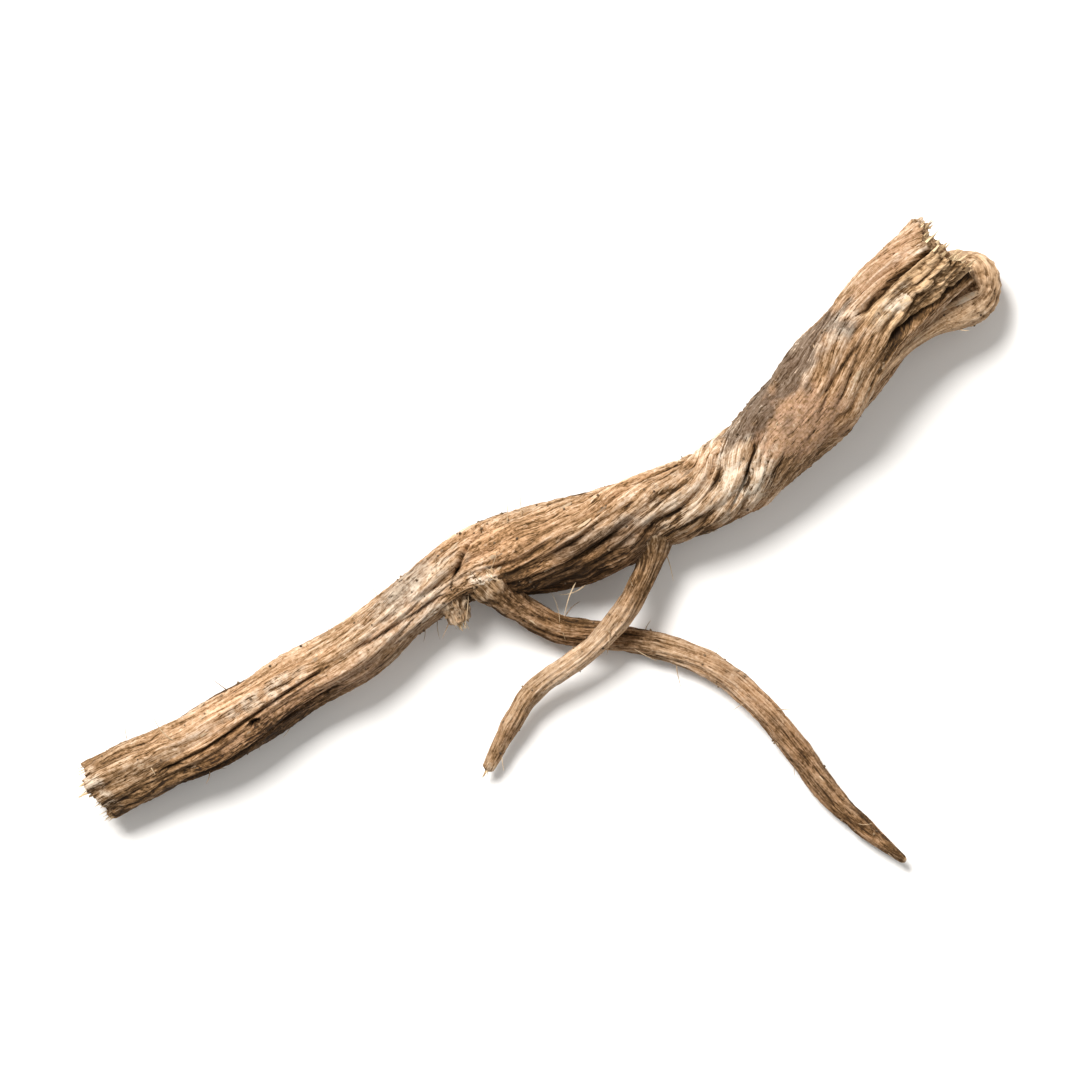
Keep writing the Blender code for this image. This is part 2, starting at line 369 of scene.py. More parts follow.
@dataclass(frozen=True)
class Face:
    """How a broken end closes: rings drawn inwards, then a point.

    Attributes:
        rings: How many rings it has.
        dome: How far its middle stands out, or in if it is negative.
        fibres: How far the torn fibres reach past one another.
        fineness: How many fibres lie across a millimetre.
        rim: How deep the bark's rim stands over what is inside it.
        rim_drop: Where the rim drops, as shares of the way from the outline to the middle.
        whole_from: The share of that way from which the fibres reach their full length.
        fine_fibres: How much finer the second kind of fibre is, and how far it reaches beside the first.
        crowding: Under 1, the rings lie closer together towards the outline.
    """

    rings: int
    dome: float
    fibres: float
    fineness: float = 1.6
    rim: float = 0.0
    rim_drop: tuple = (0.08, 0.2)
    whole_from: float = 0.25
    fine_fibres: tuple = (2.3, 0.5)
    crowding: float = 0.8

    def drawn_in(self, outline: np.ndarray, way: np.ndarray) -> tuple[np.ndarray, np.ndarray]:
        """The rings of the face.

        Args:
            outline: The last ring of the skin.
            way: The unit vector out of the end.

        Returns:
            The rings from the outline inwards, and each point's share of the outline.
        """
        middle = outline.mean(axis=0)
        shares = np.linspace(1, 0, self.rings + 1)[1:] ** self.crowding
        points = middle + shares[:, None, None] * (outline - middle)
        finer, reach = self.fine_fibres
        torn = noise_at(points * self.fineness) + reach * noise_at(points * self.fineness * finer)
        inside = ramp(1 - shares, 0.0, self.whole_from)
        depth = self.dome * (1 - shares**2) - self.rim * ramp(1 - shares, *self.rim_drop)
        steps = depth[:, None] + self.fibres * inside[:, None] * torn
        steps[-1] = steps[-1].mean()
        points = points + steps[..., None] * way
        return points, np.repeat(shares[:, None], outline.shape[0], axis=1)


@dataclass
class Skin:
    """A closed skin with what its finish needs to know at each point.

    Attributes:
        points: Rings by columns by x, y and z, in layout millimetres.
        traits: Arrays of rings by columns, or rings by columns by three, by name.
        bark_rings: The first ring of the bark and the first past it. The others belong to the end faces.
    """

    points: np.ndarray
    traits: dict[str, np.ndarray]
    bark_rings: tuple[int, int]

    @classmethod
    def closed(
        cls, course: Course, points: np.ndarray, traits: dict[str, np.ndarray], start: Face, end: Face
    ) -> Skin:
        """Adds the two end faces to a skin that is open at both ends.

        Args:
            course: The course of the root.
            points: The points of its skin.
            traits: What is known at those points.
            start: The face at the first row.
            end: The face at the last row.

        Returns:
            The closed skin, with the trait "torn" rising towards the middle of each face.
        """
        first, first_shares = start.drawn_in(points[0], -course.ways[0])
        last, last_shares = end.drawn_in(points[-1], course.ways[-1])
        whole = np.concatenate([first[::-1], points, last])
        grown = {}
        for name, values in traits.items():
            before = np.repeat(values[:1], len(first), axis=0)
            after = np.repeat(values[-1:], len(last), axis=0)
            grown[name] = np.concatenate([before, values, after])
        shares = np.concatenate([first_shares[::-1], np.ones(points.shape[:2]), last_shares])
        inside = ramp(1 - shares, 0.0, TORN_FROM)
        mottled = TORN_TONE + TORN_MOTTLING * noise_at(whole * TORN_MOTTLES)
        grown["grain"][..., :2] *= shares[..., None]
        grown["ridge"] += inside * (mottled - grown["ridge"])
        grown["torn"] = 1 - shares
        return cls(whole, grown, (len(first), len(first) + len(points)))

    def spot(self, ring: int, column: int) -> Spot:
        """The place at a ring and column.

        Args:
            ring: The number of the ring.
            column: The number of the column.

        Returns:
            The place, its ways worked out from the points on either side.
        """
        rings, columns = self.points.shape[:2]
        place = self.points[ring, column]
        ahead = self.points[min(ring + NEAR, rings - 1), column]
        behind = self.points[max(ring - NEAR, 0), column]
        way = unit(ahead - behind)
        outwards = place - self.points[ring].mean(axis=0)
        across = self.points[ring, (column + NEAR) % columns] - self.points[ring, column - NEAR]
        out = unit(np.cross(across, way))
        return Spot(place, out if out.dot(outwards) > 0 else -out, way)

    def random_spot(self, rng: random.Random, rings: tuple[float, float]) -> Spot:
        """A random place on the bark.

        Args:
            rng: The source of chance.
            rings: The shares of the bark's length that it lies between.

        Returns:
            The place.
        """
        first, last = self.bark_rings
        share = rng.uniform(*rings)
        return self.spot(first + round(share * (last - 1 - first)), rng.randrange(self.points.shape[1]))

    def mesh(self, name: str) -> bpy.types.Object:
        """Rolls a grid up into the skin.

        Args:
            name: The name of the piece.

        Returns:
            The piece, in metres and in the part's frame, with the traits as attributes.
        """
        places = in_part(self.points)
        places[..., 2] = np.maximum(places[..., 2], 0.0)
        mesh = bmesh.new()
        mesh.verts.layers.int.new("ring")
        mesh.verts.layers.int.new("column")
        roll_up(mesh, places)
        piece = linked(name, mesh)
        self.write_traits(piece.data)
        piece.data.shade_smooth()
        return piece

    def write_traits(self, data: bpy.types.Mesh) -> None:
        """Stores the traits as point attributes of a mesh made from this skin.

        Args:
            data: The mesh, whose points know the ring and column that they come from.
        """
        count = len(data.vertices)
        ring = np.empty(count, np.int32)
        column = np.empty(count, np.int32)
        data.attributes["ring"].data.foreach_get("value", ring)
        data.attributes["column"].data.foreach_get("value", column)
        for name, values in self.traits.items():
            picked = values[ring, column].astype(np.float32)
            if picked.ndim == 1:
                data.attributes.new(name, "FLOAT", "POINT").data.foreach_set("value", picked)
            else:
                data.attributes.new(name, "FLOAT_VECTOR", "POINT").data.foreach_set("vector", picked.ravel())
        for name in ("ring", "column"):
            data.attributes.remove(data.attributes[name])


class Socket:
    """A node's output that Python arithmetic can use."""

    def __init__(self, shader: Shader, socket: bpy.types.NodeSocket) -> None:
        """Wraps one output socket of a shader."""
        self.shader = shader
        self.socket = socket

    def _math(self, operation: str, first: Socket | float, second: Socket | float) -> Socket:
        """A Math node on two values."""
        return self.shader.node("ShaderNodeMath", {0: first, 1: second}, operation=operation)

    def __add__(self, other: Socket | float) -> Socket:
        """This value plus another."""
        return self._math("ADD", self, other)

    def __sub__(self, other: Socket | float) -> Socket:
        """This value less another."""
        return self._math("SUBTRACT", self, other)

    def __rsub__(self, other: float) -> Socket:
        """A number less this value."""
        return self._math("SUBTRACT", other, self)

    def __mul__(self, other: Socket | float) -> Socket:
        """This value times another."""
        return self._math("MULTIPLY", self, other)

    def __rmul__(self, other: float) -> Socket:
        """A number times this value."""
        return self._math("MULTIPLY", other, self)

    def clamp(self) -> Socket:
        """This value held between 0 and 1."""
        return self.shader.node("ShaderNodeClamp", {"Value": self})

    def rise(self, low: float, high: float) -> Socket:
        """0 up to low, 1 from high on, with a smooth rise between."""
        return self.shader.node(
            "ShaderNodeMapRange",
            {"Value": self, "From Min": low, "From Max": high},
            interpolation_type="SMOOTHSTEP",
        )


class Shader:
    """A material's node tree, written as Python expressions."""

    def __init__(self, name: str) -> None:
        """Starts a material with its Principled shader.

        Args:
            name: The name of the material.
        """
        self.material = bpy.data.materials.new(name)
        self.material.use_nodes = True
        self.tree = self.material.node_tree
        self.principled = self.tree.nodes["Principled BSDF"]

    def node(
        self, kind: str, inputs: dict | None = None, output: int | str = 0, **settings: object
    ) -> Socket:
        """Adds a node.

        Args:
            kind: The node's type.
            inputs: Numbers, colours or sockets for its inputs, by name or place.
            output: The output to use.
            **settings: The node's own settings. A ramp's stops are given as pairs of place and colour.

        Returns:
            The wanted output.
        """
        node = self.tree.nodes.new(kind)
        stops = settings.pop("stops", None)
        for name, value in settings.items():
            setattr(node, name, value)
        if stops:
            self._set_stops(node.color_ramp, stops)
        for name, value in (inputs or {}).items():
            self.feed(node.inputs[name], value)
        return Socket(self, node.outputs[output])

    @staticmethod
    def _set_stops(color_ramp: bpy.types.ColorRamp, stops: tuple) -> None:
        """Gives a ramp its stops.

        Args:
            color_ramp: The ramp.
            stops: Pairs of place and colour.
        """
        while len(color_ramp.elements) < len(stops):
            color_ramp.elements.new(0.5)
        for element, (place, colour) in zip(color_ramp.elements, stops):
            element.position = place
            element.color = (*colour, 1.0)

    def feed(self, entry: bpy.types.NodeSocket, value: object) -> None:
        """Links a socket to an input, or sets the input.

        Args:
            entry: The input.
            value: A socket, a number, a colour or a vector.
        """
        if isinstance(value, Socket):
            self.tree.links.new(value.socket, entry)
        elif isinstance(value, tuple) and len(value) == 3 and entry.type == "RGBA":
            entry.default_value = (*value, 1.0)
        else:
            entry.default_value = value

    def surface(self, **values: object) -> None:
        """Feeds the Principled shader, by the names of its inputs with _ for each space."""
        for name, value in values.items():
            self.feed(self.principled.inputs[name.replace("_", " ")], value)

    def trait(self, name: str, output: str = "Fac") -> Socket:
        """An attribute that the mesh carries."""
        return self.node("ShaderNodeAttribute", output=output, attribute_name=name)

    def parts(self, vector: Socket) -> tuple[Socket, Socket, Socket]:
        """Takes a vector apart.

        Args:
            vector: The vector.

        Returns:
            Its three parts.
        """
        node = self.tree.nodes.new("ShaderNodeSeparateXYZ")
        self.feed(node.inputs[0], vector)
        return tuple(Socket(self, output) for output in node.outputs)

    def place(self) -> Socket:
        """The place in the part's own frame, in metres."""
        return self.node("ShaderNodeTexCoord", output="Object")

    def cloud(self, vector: Socket, scale: float, detail: float = 2.0, roughness: float = 0.5) -> Socket:
        """Noise over a vector.

        Args:
            vector: Where the noise is taken.
            scale: How many of its spots lie along a unit.
            detail: How many finer layers it has.
            roughness: How strong each is beside the one before.

        Returns:
            The noise, from 0 to 1.
        """
        inputs = {"Vector": vector, "Scale": scale, "Detail": detail, "Roughness": roughness}
        return self.node("ShaderNodeTexNoise", inputs)

    def fibres(
        self, grain: Socket, across: float, onwards: float, detail: float = 2.0, roughness: float = 0.5
    ) -> Socket:
        """Noise drawn out along the strands.

        Args:
            grain: The vector in millimetres round and along the strands.
            across: How many fibres lie across a millimetre.
            onwards: How many lie along one.
            detail: How many finer layers it has.
            roughness: How strong each is beside the one before.

        Returns:
            The noise, from 0 to 1.
        """
        scaled = {0: grain, 1: (across, across, onwards)}
        stretched = self.node("ShaderNodeVectorMath", scaled, operation="MULTIPLY")
        return self.cloud(stretched, 1.0, detail, roughness)

    def blend(self, share: Socket | float, under: object, over: object, mode: str = "MIX") -> Socket:
        """One colour laid over another.

        Args:
            share: How strongly it is laid over.
            under: The colour below.
            over: The colour laid over it.
            mode: The way of blending.

        Returns:
            The blended colour.
        """
        inputs = {0: share, 6: under, 7: over}
        return self.node("ShaderNodeMix", inputs, output=2, data_type="RGBA", blend_type=mode)


@dataclass(frozen=True)
class BarkFinish:
    """Dry furrowed bark, and the wood and torn fibres under it.

    The colours run from the bottom of a furrow, a near-black painted shade, to the crest of a strand, partly
    paler bark and partly painted highlight. The tints are laid over them where the mesh's traits ask for
    them.
    """

    name: str
    # painted shade: the near-black at the bottom of a furrow
    furrow: tuple = (0.020, 0.010, 0.004)
    shade: tuple = (0.088, 0.045, 0.015)
    bark: tuple = (0.262, 0.153, 0.075)
    strand: tuple = (0.442, 0.302, 0.190)
    # the lightest tone, partly paler bark and partly painted highlight on the crests
    crest: tuple = (0.750, 0.620, 0.490)
    pink: tuple = (0.450, 0.275, 0.180)
    orange: tuple = (0.520, 0.270, 0.120)
    grey: tuple = (0.135, 0.104, 0.080)
    pale: tuple = (0.700, 0.610, 0.490)
    wood: tuple = (0.600, 0.395, 0.215)
    soil: tuple = (0.060, 0.038, 0.022)
    roughness: float = 0.86
    bump: float = 0.45
    mottling: float = 0.3  # how strongly light and dark spots of about a millimetre show
    lines: float = 0.22  # how dark the fine lines along the strands are
    dashes: float = 0.12  # how strongly short light and dark dashes along the strands show
    stops: tuple = (0.0, 0.2, 0.42, 0.64, 0.95)  # the tones of the first five colours
    warmth: tuple = (1.14, 0.93, 0.76)  # what warm patches are multiplied by
    # How strongly each tint or layer shows at most.
    warm_share: float = 0.3
    orange_share: float = 0.72
    pink_share: float = 0.75
    grey_share: float = 0.8
    wood_share: float = 0.8
    pale_fleck_share: float = 0.3
    dark_fleck_share: float = 0.4
    soil_share: float = 0.85
    shine: float = 0.18
    polish: float = 0.12  # how much smoother the crests are
    bump_depth: float = 0.00022  # metres

    def material(self) -> bpy.types.Material:
        """Makes the material.

        Returns:
            The material.
        """
        shader = Shader(self.name)
        grain = shader.trait("grain", "Vector")
        place = shader.place()
        ridge = shader.trait("ridge")
        torn = shader.trait("torn")
        pink, orange, grey = shader.parts(shader.trait("tint", "Vector"))
        pale, wood, soil = shader.parts(shader.trait("wear", "Vector"))

        # Patterns that run along the strands.
        fibre = shader.fibres(grain, 3.0, 0.18, 3.0, 0.6)
        thread = shader.fibres(grain, 7.0, 0.6, 3.0, 0.6)
        dash = shader.fibres(grain, 5.5, 2.0, 2.0, 0.55)
        hairline = shader.fibres(grain, 1.9, 0.16)
        crack = hairline.rise(0.47, 0.5) * hairline.rise(0.53, 0.5)
        seam = shader.fibres(grain, 4.6, 0.24)
        line = seam.rise(0.45, 0.5) * seam.rise(0.55, 0.5)
        # Patterns that don't, from broad to fine.
        warm = shader.cloud(place, 95.0).rise(0.42, 0.66)
        blotch = shader.cloud(place, 180.0, 3.0, 0.55)
        scurf = shader.cloud(place, 700.0, 4.0, 0.7).rise(0.42, 0.62)
        mottle = shader.cloud(place, 900.0, 2.0, 0.6)
        fleck = shader.cloud(place, 1500.0, 3.0, 0.6)
        crumb = shader.cloud(place, 2600.0, 2.0, 0.6)

        # How light the bark is, from the bottom of a furrow to the crest of a strand.
        tone = ridge * 0.85 + (fibre - 0.5) * 0.52 + (thread - 0.5) * 0.42 + (blotch - 0.5) * 0.35
        tone = tone + (crumb - 0.5) * 0.38 + (mottle - 0.5) * self.mottling + 0.085
        tone = tone - crack * 1.1 * self.lines - line * self.lines
        tone = tone + (dash.rise(0.54, 0.68) - dash.rise(0.46, 0.32)) * self.dashes
        stops = tuple(zip(self.stops, (self.furrow, self.shade, self.bark, self.strand, self.crest)))
        colour = shader.node("ShaderNodeValToRGB", {0: tone}, stops=stops)

        # The tints.
        warmer = shader.blend(1.0, colour, self.warmth, "MULTIPLY")
        colour = shader.blend(warm * self.warm_share, colour, warmer)
        rust = (orange * (fibre.rise(0.3, 0.6) * 0.5 + 0.5)).clamp()
        rusty = shader.blend(tone.rise(0.1, 0.85), self.shade, self.orange)
        colour = shader.blend(rust * self.orange_share, colour, rusty)
        flesh = shader.blend(crumb.rise(0.3, 0.7), self.bark, self.pink)
        colour = shader.blend((pink * tone.rise(0.05, 0.4)).clamp() * self.pink_share, colour, flesh)
        ashen = shader.blend(tone.rise(0.15, 0.9), self.furrow, self.grey)
        ash = (grey * blotch.rise(0.3, 0.55) * (1.0 - tone.rise(0.7, 0.95) * 0.7)).clamp()
        colour = shader.blend(ash * self.grey_share, colour, ashen)

        # Bare wood, scurf and one patch of painted light in the same pale layer, light and dark flecks, and
        # caught soil.
        bare = (wood + torn.rise(0.05, 0.3) * 0.9).clamp()
        woody = shader.blend(tone.rise(0.1, 0.9), self.shade, self.wood)
        colour = shader.blend(bare * self.wood_share, colour, woody)
        flaky = (pale * (scurf * 0.8 + 0.1) * tone.rise(0.15, 0.5)).clamp()
        colour = shader.blend(flaky, colour, self.pale)
        pale_fleck = fleck.rise(0.6, 0.72) * self.pale_fleck_share * tone.rise(0.3, 0.6)
        colour = shader.blend(pale_fleck, colour, self.crest)
        colour = shader.blend(fleck.rise(0.4, 0.3) * self.dark_fleck_share, colour, self.shade)
        caught = (soil * crumb.rise(0.35, 0.6)).clamp()
        colour = shader.blend(caught * self.soil_share, colour, self.soil)

        height = fibre * 0.4 + thread * 0.3 + crumb * 0.25 + dash * 0.3 - crack * 0.35 - line * 0.3
        bump = {"Strength": self.bump, "Distance": self.bump_depth, "Height": height}
        shader.surface(
            Base_Color=colour,
            Roughness=self.roughness - self.polish * tone.rise(0.4, 1.0),
            Specular_IOR_Level=self.shine,
            Normal=shader.node("ShaderNodeBump", bump),
        )
        return shader.material


@dataclass(frozen=True)
class BitFinish:
    """The finish of the small things on the root: two colours, mixed by each one's tone and a fine grain."""

    name: str
    dark: tuple
    light: tuple
    roughness: float = 0.9
    shine: float = 0.3
    graininess: float = 0.9
    grains: float = 3000.0  # to a metre

    def material(self) -> bpy.types.Material:
        """Makes the material.

        Returns:
            The material.
        """
        shader = Shader(self.name)
        grain = shader.cloud(shader.place(), self.grains, 2.0, 0.6)
        tone = shader.trait("tone") * 0.8 + (grain - 0.5) * self.graininess + 0.1
        shader.surface(
            Base_Color=shader.blend(tone.clamp(), self.dark, self.light),
            Roughness=self.roughness,
            Specular_IOR_Level=self.shine,
        )
        return shader.material


@dataclass(frozen=True)
class Furrow:
    """A furrow that follows the twist: uppermost place, start and end along the root, depth and width."""

    top: float
    start: float
    end: float
    depth: float
    width: float


@dataclass(frozen=True)
class Crack:
    """A crack that keeps to its own line: start, end, degrees round the root at each, depth and width."""

    start: float
    end: float
    first_around: float
    last_around: float
    depth: float
    width: float

    def around(self, along: np.ndarray) -> np.ndarray:
        """Degrees round the root at a place along it."""
        share = (along - self.start) / (self.end - self.start)
        return self.first_around + (self.last_around - self.first_around) * share


@dataclass(frozen=True)
class Swelling:
    """A swelling: its middle along and round the root, half its length and width, its height."""

    along: float
    around: float
    length: float
    width: float
    height: float


@dataclass(frozen=True)
class Patch:
    """A patch of another tint: its middle along and round, half its length and width, its strength."""

    along: float
    around: float
    length: float
    width: float
    strength: float = 1.0


class Tint(Enum):
    """The three tints of the bark, by their place in the trait of that name."""

    PINK = 0
    ORANGE = 1
    GREY = 2


class Wear(Enum):
    """What shows where the bark is worn, by its place in the trait of that name; the pale one carries painted
    light too.
    """

    PALE = 0
    WOOD = 1
    SOIL = 2


@dataclass(frozen=True)
class Weave:
    """How much a rib and its threads count: the weight of each, and the height taken as its middle."""

    rib: float
    rib_middle: float
    thread: float
    thread_middle: float

    def of(self, rib: np.ndarray, thread: np.ndarray) -> np.ndarray:
        """Their weighted sum, about 0 on average."""
        return self.rib * (rib - self.rib_middle) + self.thread * (thread - self.thread_middle)


@dataclass
class Taproot:
    """The twisted taproot, with its furrows, its snapped tip and its split top.

    Attributes:
        step: The length from ring to ring.
        columns: How many points go round it.
        squash: The height of a section over its width.
        strand_height: How far the strands stand out.
        strand_mean: The average of the strands' noise, taken off so that they don't thicken the root.
        strands_round: How closely the strands lie.
        strand_length: How long they are.
        smooth_bark: Where the strands are low: the middle, the spread, and the share of their height left.
        calm_bark: Where the ribs start to run straighter, and where they run straightest.
        calmed: How much of their waves they lose there.
        elbow: Where the ribs turn more than the strands: the start, the most, the end, and the degrees.
        bold_ribs: Where the ribs lie wider apart: the middle, the spread and the share.
        furrows: The furrows that follow the twist.
        cracks: The cracks that keep to their own lines.
        swellings: The swellings.
        waviness: How far furrows and cracks stray from their lines, in degrees.
        rib_strength: How strongly the fine ribs stand out, as pairs of place along the root and strength.
        rib_relief: How ribs and threads shape the skin.
        rib_tone: How they lighten and darken it: painted highlight on the ribs' crests and painted shade
            between them.
        contrast: The least contrast of that, and how much the strength of the ribs adds.
        brightness: How bright the bark is, as pairs of place and brightness.
        painted_underside_shade: Painted shade: how much darker the lower side of the root is, as pairs of
            place and darkness.
        painted_shade_edges: The degrees round the root between which that painted shade sets in.
        pit_depth: How deep the pits in the orange bark are.
        painted_pit_shade: How much painted shade darkens them.
        hole: The one round hole.
        hole_depth: How deep it is.
        painted_hole_shade: How much painted shade darkens it.
        split: The split top's core: the place along, and the angles of the core's two edges.
        split_slope: The length over which the split opens.
        ragged: How far the split's first edge strays, and the share of that by which its last edge does.
        core_depth: How far the core lies under the bark.
        core_relief_weave: How the fibres and strands of the core shape it.
        core_tone_weave: How they lighten and darken it, as painted highlight and shade that follow the
            relief.
        groove_depth: How deep the grooves at the core's edges are.
        groove_width: How wide the one at the last edge is.
        first_groove: The depth and width of the other one, as shares of it.
        painted_groove_shade: How much painted shade darkens the grooves.
        painted_cut_shade: How much painted shade darkens the furrows and cracks.
        torn_edge: How far the torn ends reach in and out, in broad tears and in fine ones.
        torn_length: How far from the ends the skin is drawn along with the tears.
        crest_height: What stands higher than this is lowered by half.
        snapped_face: The broken face of the tip.
        split_face: The broken face of the split top.
        tints: The patches of each tint.
        wears: The patches of each kind of wear; one pale patch is painted light. Bare wood shows at the core
            instead.
    """

    step: float = 0.26
    columns: int = 192
    squash: float = 0.95
    strand_height: float = 1.5
    strand_mean: float = 0.24
    strands_round: float = 1.9
    strand_length: float = 15.0
    smooth_bark: tuple = (34.0, 5.0, 0.35)
    calm_bark: tuple = (36.0, 46.0)
    calmed: float = 0.8
    elbow: tuple = (21.0, 31.5, 42.0, 34.0)
    bold_ribs: tuple = (21.5, 9.5, 0.9)
    furrows: tuple = (
        Furrow(29.2, 22.0, 33.0, 1.0, 0.28),
        Furrow(23.2, 19.5, 27.5, 0.7, 0.3),
        Furrow(14.0, 4.0, 22.0, 0.9, 0.5),
        Furrow(20.5, 12.0, 30.0, 0.8, 0.45),
        Furrow(3.0, -6.0, 12.0, 0.6, 0.45),
        Furrow(8.5, -4.0, 17.0, 0.7, 0.45),
    )
    cracks: tuple = (
        Crack(-50.0, -27.0, 113, 90, 1.0, 0.21),
        Crack(-48.0, -26.0, 147, 143, 1.1, 0.25),
        Crack(-23.0, -10.0, 88, 125, 0.7, 0.26),
        Crack(-24.0, -9.0, 66, 100, 0.45, 0.24),
        Crack(-9.6, -2.6, 112, 10, 1.3, 0.28),
        Crack(45.0, 60.0, 50, 60, 0.5, 0.2),
        Crack(38.0, 49.0, 100, 92, 0.4, 0.2),
    )
    swellings: tuple = (
        Swelling(-1.5, 72, 3.0, 3.0, 0.6),
        Swelling(46.5, 55, 4.5, 3.0, 0.7),
        Swelling(17.0, 60, 6.0, 3.0, 0.3),
        Swelling(-5.4, 118, 2.2, 1.6, 0.5),
    )
    waviness: tuple = (4.5, 2.5)
    rib_strength: tuple = (
        (-58, 0.35), (-45, 0.2), (-20, 0.2), (-9, 0.35), (0, 0.6), (8, 0.7), (18, 0.85),
        (26, 1.0), (31, 0.55), (33, 0.12), (37, 0.12), (40, 0.45), (48, 0.55), (61, 0.5),
    )
    rib_relief: Weave = Weave(0.5, 0.8, 0.16, 0.7)
    rib_tone: Weave = Weave(0.5, 0.8, 0.34, 0.66)
    contrast: tuple = (0.45, 0.65)
    brightness: tuple = (
        (-58, 0.46), (-50, 0.56), (-44, 0.74), (-36, 0.64), (-32, 0.56), (-20, 0.68),
        (-13, 0.74), (-4, 0.68), (4, 0.66), (12, 0.74), (19, 0.62), (26, 0.76),
        (31, 0.64), (34, 0.6), (42, 0.62), (48, 0.68), (61, 0.65),
    )
    # Painted shade on the lower side of the root, by place along it.
    painted_underside_shade: tuple = (
        (-58, 0.16), (-50, 0.36), (-45, 0.6), (-36, 0.52), (-26, 0.14), (-15, 0.14),
        (-5, 0.5), (4, 0.5), (12, 0.32), (18, 0.16), (26, 0.04), (31, 0.14),
        (36, 0.16), (42, 0.06), (48, 0.36), (54, 0.06), (61, 0.0),
    )
    painted_shade_edges: tuple = (80.0, 145.0)
    pit_depth: float = 0.25
    painted_pit_shade: float = 0.3
    hole: Patch = Patch(-37.2, 112, 0.75, 0.5)
    hole_depth: float = 1.2
    painted_hole_shade: float = 0.9
    split: tuple = ((48.5, 71, 127), (54.4, 73, 149), (60.5, 76, 170))
    split_slope: float = 1.6
    ragged: tuple = (0.25, 0.15)
    core_depth: float = 0.8
    core_relief_weave: Weave = Weave(0.45, 0.8, 0.25, 0.8)
    core_tone_weave: Weave = Weave(0.3, 0.7, 0.25, 0.7)
    groove_depth: float = 1.9
    groove_width: float = 0.3
    first_groove: tuple = (0.6, 0.55)
    painted_groove_shade: float = 0.8
    painted_cut_shade: float = 0.24
    torn_edge: tuple = (1.3, 0.5)
    torn_length: float = 3.0
    crest_height: float = 13.7
    snapped_face: Face = Face(18, 0.4, 0.5, 1.4, 0.25)
    split_face: Face = Face(22, -0.6, 1.0, 1.5, 0.8)
    tints: dict = field(
        default_factory=lambda: {
            Tint.PINK: (
                Patch(35.5, 95, 5.5, 5.0, 1.2),
                Patch(-15.0, 105, 7.0, 2.2, 0.6),
                Patch(-30.0, 128, 10.0, 2.0, 0.6),
                Patch(46.0, 50, 8.0, 2.6, 0.45),
                Patch(55.0, 40, 6.0, 2.6, 0.5),
            ),
            Tint.ORANGE: (
                Patch(-1.0, 74, 6.0, 4.2, 0.8),
                Patch(8.0, 50, 8.0, 2.6, 0.5),
                Patch(-38.0, 62, 14.0, 2.6, 0.55),
                Patch(18.0, 45, 7.0, 2.4, 0.6),
                Patch(44.0, 95, 6.0, 2.0, 0.4),
            ),
            Tint.GREY: (
                Patch(36.5, 46, 8.5, 3.4, 1.3),
                Patch(42.5, 44, 6.5, 3.6, 1.3),
                Patch(36.0, 15, 8.0, 3.4),
                Patch(-13.0, 42, 6.0, 2.6, 0.75),
                Patch(10.0, 108, 7.5, 2.2, 0.75),
                Patch(60.0, 110, 1.6, 4.0, 0.9),
                Patch(6.0, 160, 12.0, 3.4, 0.65),
                Patch(-20.0, 165, 14.0, 2.6, 0.45),
            ),
        }
    )
    wears: dict = field(
        default_factory=lambda: {
            Wear.PALE: (
                Patch(-14.5, 84, 6.5, 3.4, 0.6),
                Patch(-34.0, 78, 5.0, 1.3, 0.55),
                Patch(-57.0, 100, 1.2, 4.0, 0.7),
                Patch(-5.5, 112, 1.6, 1.2, 0.9),
                Patch(20.0, 84, 8.0, 3.4, 0.4),
                # Painted light: makes the middle and lower side of the knee paler, where light falls on it.
                Patch(27.0, 107, 4.0, 3.6, 0.9),
                Patch(25.0, 140, 4.0, 2.4, 0.4),
                Patch(-12.0, 100, 3.0, 1.6, 0.5),
                Patch(47.0, 62, 3.4, 1.5, 0.5),
                Patch(53.2, 98, 3.2, 1.5, 0.8),
            ),
            Wear.SOIL: (
                Patch(2.0, 250, 20.0, 6.0, 0.6),
                Patch(-40.0, 230, 12.0, 5.0, 0.5),
                Patch(40.0, 240, 14.0, 6.0, 0.5),
            ),
        }
    )

    def __post_init__(self) -> None:
        """Lays out the rows and columns, with what most of the methods need at each point."""
        self.course = Course.through(TAPROOT_STATIONS, self.step, (0, 1, 0))
        rows = self.course.rows
        self.along = np.repeat(rows[:, :1], self.columns, axis=1)
        self.radius = np.repeat(rows[:, 3:4], self.columns, axis=1)
        self.turn = np.tile(np.arange(self.columns) * 360 / self.columns, (len(rows), 1))
        self.angle = self.turn - rows[:, 4:5]
        self.arc = math.radians(1) * self.radius
        frayed = noise_at(points_of(self.along / 3, self.angle * self.arc / 2, 0.0))
        self.fraying = 0.5 * frayed + 0.45 * self.grain(self.turn, 4.0, 3.0, 14.0)

    def steeper(self, along: np.ndarray | float) -> np.ndarray | float:
        """How much further than the strands the ribs have turned at a place along the root, in degrees."""
        start, most, end, degrees = self.elbow
        return degrees * (ramp(along, start, most) - ramp(along, most, end))

    def twist_at(self, along: float) -> float:
        """The twist of the ribs at a place along the root, in degrees."""
        rows = self.course.rows
        return float(np.interp(along, rows[:, 0], rows[:, 4]) + self.steeper(along))

    def off(self, angle: np.ndarray, around: np.ndarray | float) -> np.ndarray:
        """How far round the root an angle is from another, in millimetres."""
        return turn_between(angle, around) * self.arc

    def grain(self, turn: np.ndarray, across: float, length: float, shift: float = 0.0) -> np.ndarray:
        """Noise that runs along the strands.

        Args:
            turn: Degrees round the root, its twist counted in.
            across: How closely the strands lie.
            length: How long they are.
            shift: Moves the pattern along, for another one of the same kind.

        Returns:
            The noise at each point.
        """
        angle = np.radians(turn)
        onwards = self.along / length + shift
        return noise_at(points_of(np.cos(angle) * across, np.sin(angle) * across, onwards))

